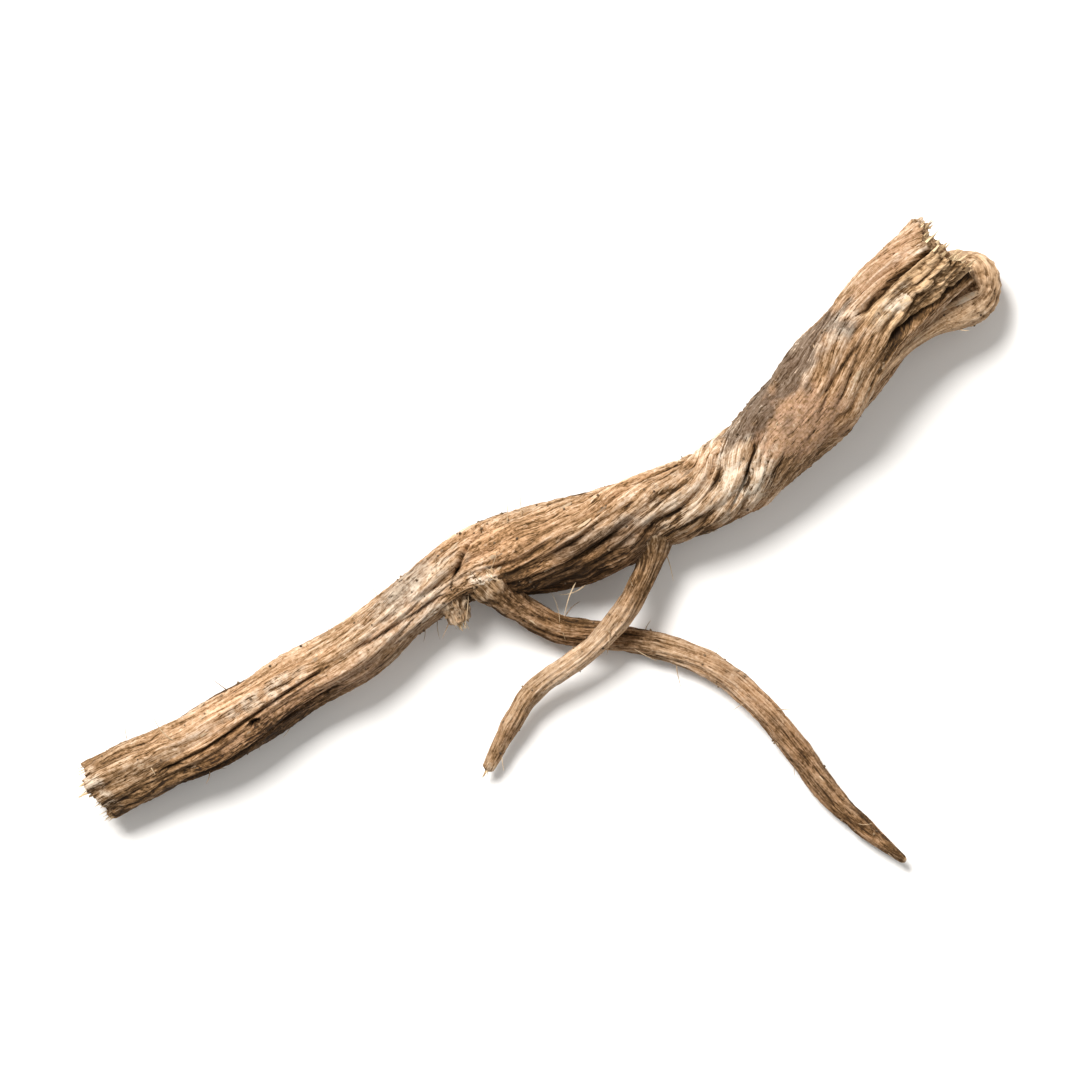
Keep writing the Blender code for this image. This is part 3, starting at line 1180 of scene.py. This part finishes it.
    def form(self) -> np.ndarray:
        """The strands and swellings that the part's solid has too.

        Returns:
            How far they stand out.
        """
        strand = np.abs(self.grain(self.turn, self.strands_round, self.strand_length)) - self.strand_mean
        middle, spread, left = self.smooth_bark
        relief = self.strand_height * strand * (1 - (1 - left) * bell(self.along - middle, spread))
        for swelling in self.swellings:
            near = bell(self.along - swelling.along, swelling.length)
            near = near * bell(self.off(self.angle, swelling.around), swelling.width)
            relief = relief + swelling.height * near
        return relief

    def cuts(self) -> np.ndarray:
        """The furrows and cracks, which the part's solid has too.

        Returns:
            How deep they are.
        """
        depth = np.zeros_like(self.along)
        furrow_wave, crack_wave = self.waviness
        lie = self.turn + self.steeper(self.along)
        for furrow in self.furrows:
            wave = furrow_wave * noise_at(points_of(self.along / 3.2, furrow.top, 0.0))
            off = self.off(lie + wave, TOP + self.twist_at(furrow.top))
            here = window(self.along, furrow.start, furrow.end)
            depth = depth + furrow.depth * bell(off, furrow.width) * here
        for crack in self.cracks:
            wave = crack_wave * noise_at(points_of(self.along / 3.0, crack.end, 0.0))
            off = self.off(self.angle + wave, crack.around(self.along))
            here = window(self.along, crack.start, crack.end, 1.5)
            depth = depth + crack.depth * bell(off, crack.width) * here
        return depth

    def split_masks(self) -> tuple[np.ndarray, np.ndarray, np.ndarray]:
        """The split top.

        Returns:
            Where it shows its core, where its two grooves are, and how far inside them a point is.
        """
        along, first, last = (np.array(column, float) for column in zip(*self.split))
        opened = np.clip((self.along - along[0]) / self.split_slope, 0.0, 1.0)
        stray, last_share = self.ragged
        ragged = stray * self.grain(self.turn, 3.0, 2.0, 5.0)
        past_first = self.off(self.angle, np.interp(self.along, along, first)) + ragged
        past_last = self.off(self.angle, np.interp(self.along, along, last)) + last_share * ragged
        core = opened * ramp(past_first, -0.1, 0.1) * ramp(-past_last, -0.1, 0.1)
        shallow, narrow = self.first_groove
        first_groove = shallow * bell(past_first, narrow * self.groove_width)
        groove = opened * np.maximum(first_groove, bell(past_last, self.groove_width))
        return core, groove, opened * np.maximum(np.minimum(past_first, -past_last), 0.0)

    def core_relief(self, inside: np.ndarray) -> tuple[np.ndarray, np.ndarray]:
        """The broken fibres of the split top's core.

        Args:
            inside: How far inside the grooves each point is.

        Returns:
            How far the fibres stand out, and how much lighter they are.
        """
        crown = ramp(inside, 0.0, 1.0)
        fibre = valleys(self.grain(self.angle, 5.0, 9.0, 31.0), 3.0)
        strand = valleys(self.grain(self.angle, 11.0, 6.0, 37.0), 3.0)
        warp = 0.5 * self.grain(self.angle, 3.0, 1.4, 8.0)
        block = blocks_at(points_of(self.along / 1.5 + warp, self.angle * self.arc / 0.75 + warp, 0.0))
        cut = (block != np.roll(block, 1, axis=0)) | (block != np.roll(block, 1, axis=1))
        broken = ramp(self.along, 50.5, 55.0) * ramp(inside, 0.3, 1.4)
        relief = 0.25 * crown + self.core_relief_weave.of(fibre, strand) + broken * 0.8 * (block - 0.75)
        # Painted shade and light: the cracks between the broken blocks are darkened, higher blocks and fibres
        # lightened.
        tone = self.core_tone_weave.of(fibre, strand) + broken * (0.4 * (block - 0.5) - 0.26 * cut)
        return relief, tone

    def mask(self, patches: tuple) -> np.ndarray:
        """A mask of some patches, soft at the edge and broken up.

        Args:
            patches: The patches.

        Returns:
            How strongly a patch shows at each point.
        """
        whole = np.zeros_like(self.along)
        for patch in patches:
            lengthwise = (self.along - patch.along) / patch.length
            crosswise = self.off(self.angle, patch.around) / patch.width
            inside = 1 - ramp(np.hypot(lengthwise, crosswise) + self.fraying, 0.6, 1.3)
            whole = np.maximum(whole, inside * patch.strength)
        return whole

    def along_table(self, table: tuple) -> np.ndarray:
        """A value that changes along the root, from pairs of place and value."""
        places, values = zip(*table)
        return np.interp(self.along, places, values)

    def skin(self) -> Skin:
        """Shapes the whole skin.

        Returns:
            The skin, with its traits.
        """
        core, groove, inside = self.split_masks()
        bark = 1 - core
        strength = self.along_table(self.rib_strength)
        lie, rib, thread = self.ribs(strength)
        core_out, core_tone = self.core_relief(inside)
        pits, hole = self.pits_and_hole()
        cuts = self.cuts()
        fine = bark * strength * self.rib_relief.of(rib, thread) + self.roughened()
        fine = fine + core * core_out - self.pit_depth * pits - self.hole_depth * hole
        form = self.form() - cuts - self.core_depth * core - self.groove_depth * groove
        points = self.tear_ends(self.course.skin(self.angle, self.radius + form + fine, self.squash))
        points[..., 2] -= 0.5 * np.maximum(points[..., 2] - self.crest_height, 0.0)

        least, more = self.contrast
        # Painted shade and highlight from the relief: sunken bark in furrows and cracks is darker, raised
        # strands and rib crests lighter.
        ridge = self.along_table(self.brightness) + 0.08 * np.clip(form * bark, -2.0, 0.6) + core * core_tone
        ridge = ridge + bark * (least + more * strength) * self.rib_tone.of(rib, thread)
        # Painted shade: the lower side of the root is darkened by its angle round the root.
        under = ramp(self.angle % 360, *self.painted_shade_edges)
        ridge = ridge - bark * self.along_table(self.painted_underside_shade) * under
        # Painted shade in the pits and in the round hole.
        ridge = ridge - self.painted_pit_shade * pits - self.painted_hole_shade * hole
        # Painted shade in the grooves of the split top and in the furrows and cracks.
        ridge = ridge - self.painted_groove_shade * groove - self.painted_cut_shade * cuts
        worn = {wear: self.mask(patches) for wear, patches in self.wears.items()} | {Wear.WOOD: core}
        round_it = np.radians(lie)
        traits = {
            "ridge": np.clip(ridge, 0.0, 1.0),
            "grain": points_of(np.cos(round_it) * self.radius, np.sin(round_it) * self.radius, self.along),
            "tint": np.stack([self.mask(self.tints[tint]) * bark for tint in Tint], axis=-1),
            "wear": np.stack([worn[wear] for wear in Wear], axis=-1),
        }
        return Skin.closed(self.course, points, traits, self.snapped_face, self.split_face)

    def ribs(self, strength: np.ndarray) -> tuple[np.ndarray, np.ndarray, np.ndarray]:
        """The fine ribs between the strands.

        Args:
            strength: How strongly they stand out at each point. Strong ribs are wavy too.

        Returns:
            Their lie in degrees, and how high each point stands on its rib and on the threads of the rib.
        """
        wavy = 7 * self.grain(self.turn, 1.4, 5.0, 2.0) + 3.5 * self.grain(self.turn, 3.0, 2.4, 4.0)
        calm = self.calmed * ramp(self.along, *self.calm_bark)
        lie = self.turn + self.steeper(self.along) + wavy * (0.35 + strength * 0.65) * (1 - calm)
        soft = self.grain(lie, 5.6, 8.0, 11.0)
        rib = 0.45 * valleys(soft, 2.6) + 0.55 * valleys(soft, 7.0)
        middle, spread, share = self.bold_ribs
        bold = share * bell(self.along - middle, spread)
        rib = rib + bold * (valleys(self.grain(lie, 2.6, 9.0, 17.0), 3.4) - rib)
        return lie, rib, valleys(self.grain(lie, 13.0, 8.0, 23.0), 2.6)

    def roughened(self) -> np.ndarray:
        """Small wrinkles across the root and grit everywhere, most of it on the smooth bark.

        Returns:
            How far they stand out.
        """
        skin = self.course.skin(self.angle, self.radius)
        middle, spread, _ = self.smooth_bark
        cross = noise_at(points_of(self.along / 0.6, self.angle * self.arc / 2.6, 0.0))
        grit = noise_at(skin * 1.9)
        granules = noise_at(skin * 3.4 + 9)
        smooth = bell(self.along - middle, spread)
        return 0.05 * cross + 0.07 * grit + 0.05 * granules + 0.09 * smooth * (grit + granules)

    def pits_and_hole(self) -> tuple[np.ndarray, np.ndarray]:
        """The small round dents.

        Returns:
            Where the pits in the orange bark are, and where the one round hole is.
        """
        skin = self.course.skin(self.angle, self.radius)
        pits = ramp(noise_at(skin * 1.1 + 40), 0.5, 0.66) * self.mask(self.tints[Tint.ORANGE])
        lengthwise = (self.along - self.hole.along) / self.hole.length
        crosswise = self.off(self.angle, self.hole.around) / self.hole.width
        return pits, 1 - ramp(np.hypot(lengthwise, crosswise), 0.6, 1.1)

    def tear_ends(self, points: np.ndarray) -> np.ndarray:
        """Pushes the last few rows in and out along the root, as the ends tore.

        Args:
            points: The points of the skin.

        Returns:
            The points, moved.
        """
        broadly, finely = self.torn_edge
        for end in (0, -1):
            around = np.radians(self.angle[end])
            broad = noise_at(points_of(np.cos(around) * 1.6, np.sin(around) * 1.6, 7.3))
            jagged = noise_at(points_of(np.cos(around) * 9, np.sin(around) * 9, 3.1))
            reach = np.abs(self.course.travelled - self.course.travelled[end])
            share = (1 - ramp(reach, 0.0, self.torn_length))[:, None]
            tear = broadly * broad + finely * jagged
            points = points + (share * tear)[..., None] * self.course.ways[end]
        return points

    def build(self, finish: bpy.types.Material) -> Skin:
        """Makes and dresses the taproot, and returns its skin."""
        skin = self.skin()
        attach(skin.mesh("taproot"), finish)
        return skin


@dataclass
class SideRoot:
    """A side root, swept along its own course out of the taproot.

    Attributes:
        name: The name of the piece.
        stations: Along, across, height and radius at a few places.
        columns: How many points go round it.
        step: The length from ring to ring.
        strands: How many strands lie round it.
        relief: How far the strands stand out.
        twist: How far it twists in a millimetre, in degrees.
        collar: How far from its start the swollen collar lies, how much it swells and how long it is.
        thick: The radii from which and up to which grains come up, as they do on the collar.
        pale: How pale its bark is.
        pink: How pink its bark is in places.
        orange: How orange it is all over.
        grey: How grey it is in other places.
        wood: How much bare wood shows.
        brightness: How bright its bark is, as pairs of share of its length and brightness.
        grit: How strongly grains stand out where it is swollen; they are also lightened, as painted
            highlight.
        tip_length: The length at its end over which the bark is worn.
        start: How the end inside the taproot closes.
        end: How its outer end closes.
    """

    name: str
    stations: tuple
    columns: int = 56
    step: float = 0.34
    strands: float = 1.6
    relief: float = 0.32
    twist: float = 2.0
    collar: tuple[float, float, float] = (2.6, 0.22, 1.4)
    thick: tuple[float, float] = (1.5, 2.3)
    pale: float = 0.08
    pink: float = 0.25
    orange: float = 0.15
    grey: float = 0.3
    wood: float = 0.0
    brightness: tuple = ((0.0, 0.56), (1.0, 0.56))
    grit: float = 0.0
    tip_length: float = 3.0
    start: Face = Face(4, 0.5, 0.0)
    end: Face = Face(8, 0.35, 0.12)

    def __post_init__(self) -> None:
        """Lays out the rows and columns. The seed makes the pattern of each root start elsewhere."""
        self.course = Course.through(self.stations, self.step, (0, 0, 1))
        self.travelled = np.repeat(self.course.travelled[:, None], self.columns, axis=1)
        self.radius = np.repeat(self.course.rows[:, 3:4], self.columns, axis=1)
        self.angle = np.tile(np.arange(self.columns) * 360 / self.columns, (len(self.course.rows), 1))
        turn = np.radians(self.angle + self.twist * self.travelled)
        self.ring = np.cos(turn), np.sin(turn)
        self.seed = 3.0 * len(self.name)

    def grain(self, across: float, length: float) -> np.ndarray:
        """Noise that runs along the strands.

        Args:
            across: How closely they lie.
            length: How long they are.

        Returns:
            The noise at each point.
        """
        x, y = self.ring
        return noise_at(points_of(x * across, y * across, self.travelled / length + self.seed))

    def skin(self) -> Skin:
        """Shapes the skin of the side root.

        Returns:
            The skin, with its traits.
        """
        coarse = self.grain(self.strands, 9)
        valley = valleys(self.grain(self.strands * 2.6, 8), 2.8)
        thread = self.grain(self.strands * 6, 6)
        knob = self.grain(0.4, 2.2)
        cross = self.grain(1.2, 0.45)
        place, swelling, width = self.collar
        near = bell(self.travelled - place, width)
        core = self.course.skin(self.angle, self.radius)
        swollen = np.maximum(ramp(self.radius, *self.thick), 0.8 * near)
        grains = noise_at(core * 1.3 + self.seed) + 0.7 * noise_at(core * 2.9 + self.seed)
        grit = self.grit * swollen * grains

        share = self.relief * (0.35 * coarse + 0.5 * (valley - 0.7) + 0.2 * thread + 0.06 * cross)
        share = share + 0.09 * knob + swelling * near
        points = self.course.skin(self.angle, self.radius * (1 + share) + 0.3 * grit)

        length = self.course.travelled[-1]
        places, values = zip(*self.brightness)
        # Painted highlight and shade from the relief: raised grains and strands are lighter, the valleys
        # between strands darker.
        ridge = np.interp(self.travelled / length, places, values) + 0.5 * grit
        ridge = ridge + 0.22 * (valley - 0.65) + 0.12 * coarse + 0.16 * thread + 0.04 * cross
        blotch = noise_at(points / 5.0 + self.seed)
        pink = self.pink * ramp(blotch, -0.1, 0.3)
        grey = self.grey * ramp(-blotch, 0.1, 0.4)
        tip = ramp(self.travelled, length - self.tip_length, length)
        wear = points_of(self.pale + 0.2 * near + 0.2 * tip, self.wood + 0.8 * near + 0.3 * tip, 0.0)
        x, y = self.ring
        traits = {
            "ridge": np.clip(ridge, 0.0, 1.0),
            "grain": points_of(x * self.radius, y * self.radius, self.travelled + self.seed),
            "tint": points_of(pink, self.orange, grey),
            "wear": np.clip(wear, 0.0, 1.0),
        }
        return Skin.closed(self.course, points, traits, self.start, self.end)

    def build(self, finish: bpy.types.Material) -> Skin:
        """Makes and dresses the side root, and returns its skin."""
        skin = self.skin()
        attach(skin.mesh(self.name), finish)
        return skin


@dataclass
class Litter:
    """Many small things of one kind on the root, gathered in one piece.

    Attributes:
        name: The name of the piece.
        finish: Its finish.
        rng: The source of chance.
    """

    name: str
    finish: BitFinish
    rng: random.Random

    def __post_init__(self) -> None:
        """Starts an empty mesh."""
        self.mesh = bmesh.new()
        self.tone = self.mesh.verts.layers.float.new("tone")

    def add(self, spot: Spot) -> None:
        """Adds one thing at a spot. Each kind has its own way."""
        raise NotImplementedError

    def strew(self, skin: Skin, count: int, rings: tuple[float, float]) -> None:
        """Adds things at random places of a skin.

        Args:
            skin: The skin they sit on.
            count: How many there are.
            rings: The shares of the skin's length that they lie between.
        """
        for _ in range(count):
            self.add(skin.random_spot(self.rng, rings))

    def shape(
        self, points: list[bmesh.types.BMVert], tone: float, move: Callable[[Vector], np.ndarray]
    ) -> None:
        """Shapes the points of one thing and gives them its tone.

        Args:
            points: The points, as an operator has made them.
            tone: How light the thing is, from 0 to 1.
            move: Gives a point's place in layout millimetres from its first one.
        """
        for vertex in points:
            vertex.co = in_part(move(vertex.co))
            vertex.co.z = max(vertex.co.z, LITTER_HEIGHT)
            vertex[self.tone] = tone

    def build(self) -> None:
        """Makes and dresses the piece."""
        attach(linked(self.name, self.mesh), self.finish.material())


@dataclass
class RootHairs(Litter):
    """Fine root hairs, thin bent tubes that taper to a point.

    Attributes:
        reach: The shortest and the longest.
        radius: The thinnest and the thickest.
        rings: How many rings a hair has, its two points counted.
        sides: How many points go round it.
        rise: How steeply it leaves the skin.
        curl: How much it bends at random.
        droop: How much it bends back to the skin.
        sunk: How far under the skin it starts.
        tip: Its thickness near the end, as a share of the start.
        top: No hair stands higher than this.
    """

    reach: tuple[float, float] = (1.2, 5.5)
    radius: tuple[float, float] = (0.035, 0.075)
    rings: int = 8
    sides: int = 5
    rise: float = 0.7
    curl: float = 0.3
    droop: float = 0.25
    sunk: float = 0.12
    tip: float = 0.45
    top: float = 13.8

    def add(self, spot: Spot) -> None:
        """Adds one hair.

        Args:
            spot: Where it starts.
        """
        sidewards = spot.side * self.rng.uniform(-1, 1)
        onwards = spot.way * self.rng.uniform(-1, 1)
        way = unit(spot.out * self.rise + sidewards + onwards)
        bend = np.array([self.rng.gauss(0, self.curl) for _ in range(3)]) - self.droop * spot.out
        stride = self.rng.uniform(*self.reach) / self.rings
        place = spot.place - self.sunk * spot.out
        path = [place]
        for _ in range(self.rings - 1):
            way = unit(way + bend / self.rings * 2)
            place = place + stride * way
            path.append(place)
        self._add_tube(np.array(path))

    def _add_tube(self, path: np.ndarray) -> None:
        """Adds a tube.

        Args:
            path: The places it goes through.
        """
        radius = self.rng.uniform(*self.radius)
        path[:, 2] = np.clip(path[:, 2], radius, self.top)
        ways = np.gradient(path, axis=0)
        side = np.cross(ways, HAIR_ASIDE)
        side /= np.linalg.norm(side, axis=1)[:, None]
        up = np.cross(side, ways / np.linalg.norm(ways, axis=1)[:, None])
        angle = np.arange(self.sides) * math.tau / self.sides
        taper = radius * np.array([0.0, *np.linspace(1.0, self.tip, self.rings - 2), 0.0])
        ring = np.cos(angle)[:, None] * side[:, None] + np.sin(angle)[:, None] * up[:, None]
        points = roll_up(self.mesh, path[:, None] + taper[:, None, None] * ring)
        self.shape(points, self.rng.random(), np.array)


@dataclass
class BarkFlakes(Litter):
    """Thin scales of bark that have lifted at one end.

    Attributes:
        length: The shortest and the longest.
        width: The narrowest and the widest, each half the width.
        thickness: Half the thickness.
        lift: How far the loose end stands up, least and most.
        skew: How far a flake may lean to one side.
        tear: How uneven its edge is.
        sunk: How far under the skin the fast end lies.
    """

    length: tuple[float, float] = (0.5, 2.0)
    width: tuple[float, float] = (0.08, 0.24)
    thickness: float = 0.03
    lift: tuple[float, float] = (0.02, 0.22)
    skew: float = 0.6
    tear: float = 0.7
    sunk: float = 0.06

    def add(self, spot: Spot) -> None:
        """Adds one flake.

        Args:
            spot: Where its fast end is.
        """
        length = self.rng.uniform(*self.length)
        width = self.rng.uniform(*self.width)
        lift = self.rng.uniform(*self.lift)
        skew = self.rng.uniform(-self.skew, self.skew)
        seed = self.rng.uniform(0, SEEDS)

        def move(co: Vector) -> np.ndarray:
            """Bends, tears and places one point of the flake."""
            torn = 1 + self.tear * noise.noise((co.x * 2 + seed, co.y * 2, seed))
            along = (co.x * torn + 1) / 2
            rise = lift * along**2 - self.sunk + co.z * self.thickness
            sidewards = (co.y * torn + skew * along) * width
            return spot.place + spot.way * along * length + spot.side * sidewards + spot.out * rise

        ball = bmesh.ops.create_uvsphere(self.mesh, u_segments=9, v_segments=4, radius=1.0)
        self.shape(ball["verts"], self.rng.random(), move)


@dataclass
class SoilCrumbs(Litter):
    """Dry crumbs of soil caught on the bark.

    Attributes:
        size: The smallest and the largest radius.
        dents: How uneven they are.
        stand: How far the middle of one stands over the skin, as a share of its radius.
    """

    size: tuple[float, float] = (0.06, 0.2)
    dents: float = 0.5
    stand: float = 0.35

    def add(self, spot: Spot) -> None:
        """Adds one crumb.

        Args:
            spot: Where it lies.
        """
        size = self.rng.uniform(*self.size)
        seed = self.rng.uniform(0, SEEDS)

        def move(co: Vector) -> np.ndarray:
            """Dents one point of the crumb and places it."""
            dent = 1 + self.dents * noise.noise(co * 1.3 + Vector((seed, 0, 0)))
            return spot.place + spot.out * size * self.stand + np.array(co) * size * dent

        ball = bmesh.ops.create_icosphere(self.mesh, subdivisions=1, radius=1.0)
        self.shape(ball["verts"], self.rng.random(), move)


@dataclass
class Splinters(Litter):
    """Torn fibres that stick out of the broken ends.

    Attributes:
        length: The shortest and the longest.
        radius: The thinnest and the thickest.
        lean: How far they lean to the sides at most, and how far outwards.
        flat: How much wider and how much flatter than round they are.
        taper: The radius at the tip, as a share of that at the start.
        middle: How far out of the end the middle of one stands, as a share of its length.
        sunk: How far under the bark they start.
        rings: How many rings of the bark they start on.
        apart: How many rings apart the two lie that show the way out of an end.
    """

    length: tuple[float, float] = (0.5, 1.8)
    radius: tuple[float, float] = (0.06, 0.16)
    lean: tuple[float, float] = (0.22, 0.2)
    flat: tuple[float, float] = (1.4, 0.7)
    taper: float = 0.25
    middle: float = 0.25
    sunk: float = 0.3
    rings: int = 8
    apart: int = 4

    def add(self, spot: Spot) -> None:
        """Adds one splinter, which points along the spot's way.

        Args:
            spot: Where it starts.
        """
        length = self.rng.uniform(*self.length)
        radius = self.rng.uniform(*self.radius)
        sidewards = self.lean[0] * self.rng.uniform(-1, 1)
        outwards = self.lean[1] * self.rng.random()
        way = unit(spot.way + sidewards * spot.side + outwards * spot.out)
        wide, thin = (radius * share for share in self.flat)

        def move(co: Vector) -> np.ndarray:
            """Stretches one point of the splinter and places it."""
            flat = spot.side * co.x * wide + spot.out * co.y * thin
            return spot.place - self.sunk * spot.out + flat + way * (co.z + self.middle) * length

        cone = bmesh.ops.create_cone(
            self.mesh, cap_ends=True, segments=5, radius1=1.0, radius2=self.taper, depth=1.0
        )
        self.shape(cone["verts"], self.rng.random(), move)

    def add_round(self, skin: Skin, end: int, count: int) -> None:
        """Adds splinters round a broken end of a skin.

        Args:
            skin: The skin of the root.
            end: -1 for the end at its last ring, 1 for the one at its first.
            count: How many there are.
        """
        first, last = skin.bark_rings
        rim = last - 1 if end < 0 else first
        middle = skin.points[rim].mean(axis=0)
        away = unit(middle - skin.points[rim + self.apart * end].mean(axis=0))
        for _ in range(count):
            ring = rim - end * self.rng.randrange(self.rings)
            place = skin.points[ring, self.rng.randrange(skin.points.shape[1])]
            spoke = place - middle
            self.add(Spot(place, unit(spoke - away * spoke.dot(away)), away))


@dataclass(frozen=True)
class Lamp:
    """A square soft light that faces the root: its place in metres, its side, its watts and its colour."""

    name: str
    place: tuple
    size: float
    power: float
    colour: tuple

    def build(self) -> None:
        """Makes the light."""
        light = bpy.data.lights.new(self.name, "AREA")
        light.size = self.size
        light.energy = self.power
        light.color = self.colour
        lamp = placed(self.name, light)
        lamp.location = self.place
        lamp.rotation_euler = (-Vector(self.place)).to_track_quat("-Z", "Y").to_euler()


@dataclass
class Studio:
    """The floor, the light, and the camera that looks straight down.

    Attributes:
        roll: How far the camera is turned, in degrees, so that the root lies as in the photograph.
        view_width: The width of the picture at the table.
        distance: The height of the camera.
        sensor: The width of its sensor.
        far: How far it sees, in metres.
        aim: The layout's place at the middle of the picture.
        floor_size: The side of the floor, in metres.
        floor_colour: The colour of the floor.
        floor_roughness: How dull it is.
        floor_shine: How strongly it mirrors.
        lamps: The lights.
        sky_colour: The colour of the light from all round.
        sky_strength: How strong that light is.
    """

    roll: float = 30.0
    view_width: float = 128.0
    distance: float = 900.0
    sensor: float = 36.0
    far: float = 50.0
    aim: tuple[float, float] = (2.4, -2.5)
    floor_size: float = 6.0
    floor_colour: tuple = (0.87, 0.865, 0.855)
    floor_roughness: float = 0.95
    floor_shine: float = 0.1
    lamps: tuple = (
        Lamp("key_light", (-0.05, 0.72, 0.90), 0.5, 24.0, (1.0, 0.98, 0.955)),
        Lamp("fill_light", (0.7, -0.25, 0.7), 0.9, 2.0, (1.0, 0.95, 0.88)),
    )
    sky_colour: tuple = (1.0, 0.98, 0.955)
    sky_strength: float = 0.42

    def build(self) -> None:
        """Makes the floor, the lights and the camera."""
        self._floor()
        for lamp in self.lamps:
            lamp.build()
        self._sky()
        self._camera()
        bpy.context.scene.view_settings.view_transform = "Standard"

    def _floor(self) -> None:
        """A plain pale floor."""
        grid = bmesh.new()
        bmesh.ops.create_grid(grid, x_segments=1, y_segments=1, size=self.floor_size / 2)
        floor = linked("floor", grid)
        shader = Shader("plain_floor")
        shader.surface(
            Base_Color=self.floor_colour,
            Roughness=self.floor_roughness,
            Specular_IOR_Level=self.floor_shine,
        )
        floor.data.materials.append(shader.material)

    def _sky(self) -> None:
        """An even pale light from all round."""
        world = bpy.data.worlds.new("studio")
        world.use_nodes = True
        background = world.node_tree.nodes["Background"]
        background.inputs["Color"].default_value = (*self.sky_colour, 1.0)
        background.inputs["Strength"].default_value = self.sky_strength
        bpy.context.scene.world = world

    def _camera(self) -> None:
        """The camera, straight above the aim."""
        camera = bpy.data.cameras.new("camera")
        camera.sensor_width = self.sensor
        camera.lens = self.sensor * self.distance / self.view_width
        camera.clip_end = self.far
        view = placed("camera", camera)
        aim = in_part(np.array([*self.aim, 0.0]))
        view.location = (aim[0], aim[1], self.distance * MM)
        view.rotation_euler = (0.0, 0.0, -math.radians(self.roll))
        bpy.context.scene.camera = view


def attach(piece: bpy.types.Object, finish: bpy.types.Material) -> None:
    """Gives a piece its finish, says what it is part of, and reports it.

    Args:
        piece: The piece.
        finish: The material of its finish.
    """
    piece.data.materials.append(finish)
    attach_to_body(piece, BODY)
    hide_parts(NODE)
    LOG.info("%s: %d faces", piece.name, len(piece.data.polygons))


def grow_roots() -> dict[str, Skin]:
    """Makes the taproot and its side roots.

    Returns:
        Their skins by name.
    """
    side_roots = (
        SideRoot(
            "long_side_root", LONG_STATIONS, columns=64, step=0.28, grit=0.8, end=Face(8, 0.5, 0.08),
            brightness=(
                (0.0, 0.34), (0.15, 0.24), (0.36, 0.36), (0.45, 0.5), (0.56, 0.56), (0.72, 0.36), (1.0, 0.2),
            ),
        ),
        SideRoot(
            "short_side_root", SHORT_STATIONS, collar=(1.2, 0.9, 1.8), wood=0.25, pale=0.12, grit=0.4,
            brightness=((0.0, 0.24), (0.2, 0.32), (0.4, 0.68), (0.62, 0.72), (0.8, 0.46), (1.0, 0.46)),
        ),
        SideRoot(
            "bent_side_root", BENT_STATIONS, columns=88, step=0.24, collar=NO_COLLAR, relief=0.09, wood=0.5,
            grit=0.7,
        ),
        SideRoot(
            "broken_stub", STUB_STATIONS, columns=48, step=0.2, collar=(2.4, 0.25, 1.6), relief=0.5, pink=0.5,
            grit=1.2, end=Face(10, -0.3, 0.7), brightness=((0.0, 0.4), (0.5, 0.42), (1.0, 0.56)),
        ),
        SideRoot(
            "pale_splinter", SPLINTER_STATIONS, columns=32, step=0.2, collar=NO_COLLAR, relief=0.6, pink=0.0,
            wood=0.6, pale=0.6, end=Face(8, 0.2, 0.3, 4.0), brightness=((0.0, 0.6), (1.0, 1.0)),
        ),
    )
    plain = BarkFinish("side_root_bark", mottling=0.2, lines=0.14, dashes=0.08).material()
    skins = {side_root.name: side_root.build(plain) for side_root in side_roots}
    skins["taproot"] = Taproot().build(BarkFinish("dry_bark").material())
    return skins


def litter(skins: dict[str, Skin]) -> None:
    """Adds hairs, flakes, soil and splinters to the roots.

    Args:
        skins: The skins of the roots, by name.
    """
    rng = random.Random(SEED)
    hair = BitFinish("root_hair", (0.16, 0.09, 0.045), (0.62, 0.47, 0.30))
    scale = BitFinish("bark_scale", (0.17, 0.105, 0.06), (0.50, 0.37, 0.24))
    earth = BitFinish("dry_soil", (0.035, 0.022, 0.014), (0.24, 0.16, 0.09), 0.97)
    torn = BitFinish("torn_wood", (0.30, 0.19, 0.09), (0.76, 0.60, 0.38))
    hairs = RootHairs("root_hairs", hair, rng)
    flakes = BarkFlakes("bark_flakes", scale, rng)
    soil = SoilCrumbs("soil_crumbs", earth, rng)
    splinters = Splinters("splinters", torn, rng)
    for name, shares, *counts in STREWN:
        for kind, count in zip((hairs, flakes, soil), counts):
            kind.strew(skins[name], count, shares)
    for name, end, count in TORN_ENDS:
        splinters.add_round(skins[name], end, count)
    for kind in (hairs, flakes, soil, splinters):
        kind.build()


def main() -> None:
    """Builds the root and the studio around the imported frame."""
    logging.basicConfig(level=logging.INFO, format="%(name)s: %(message)s")
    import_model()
    litter(grow_roots())
    Studio().build()


if __name__ == "__main__":
    main()
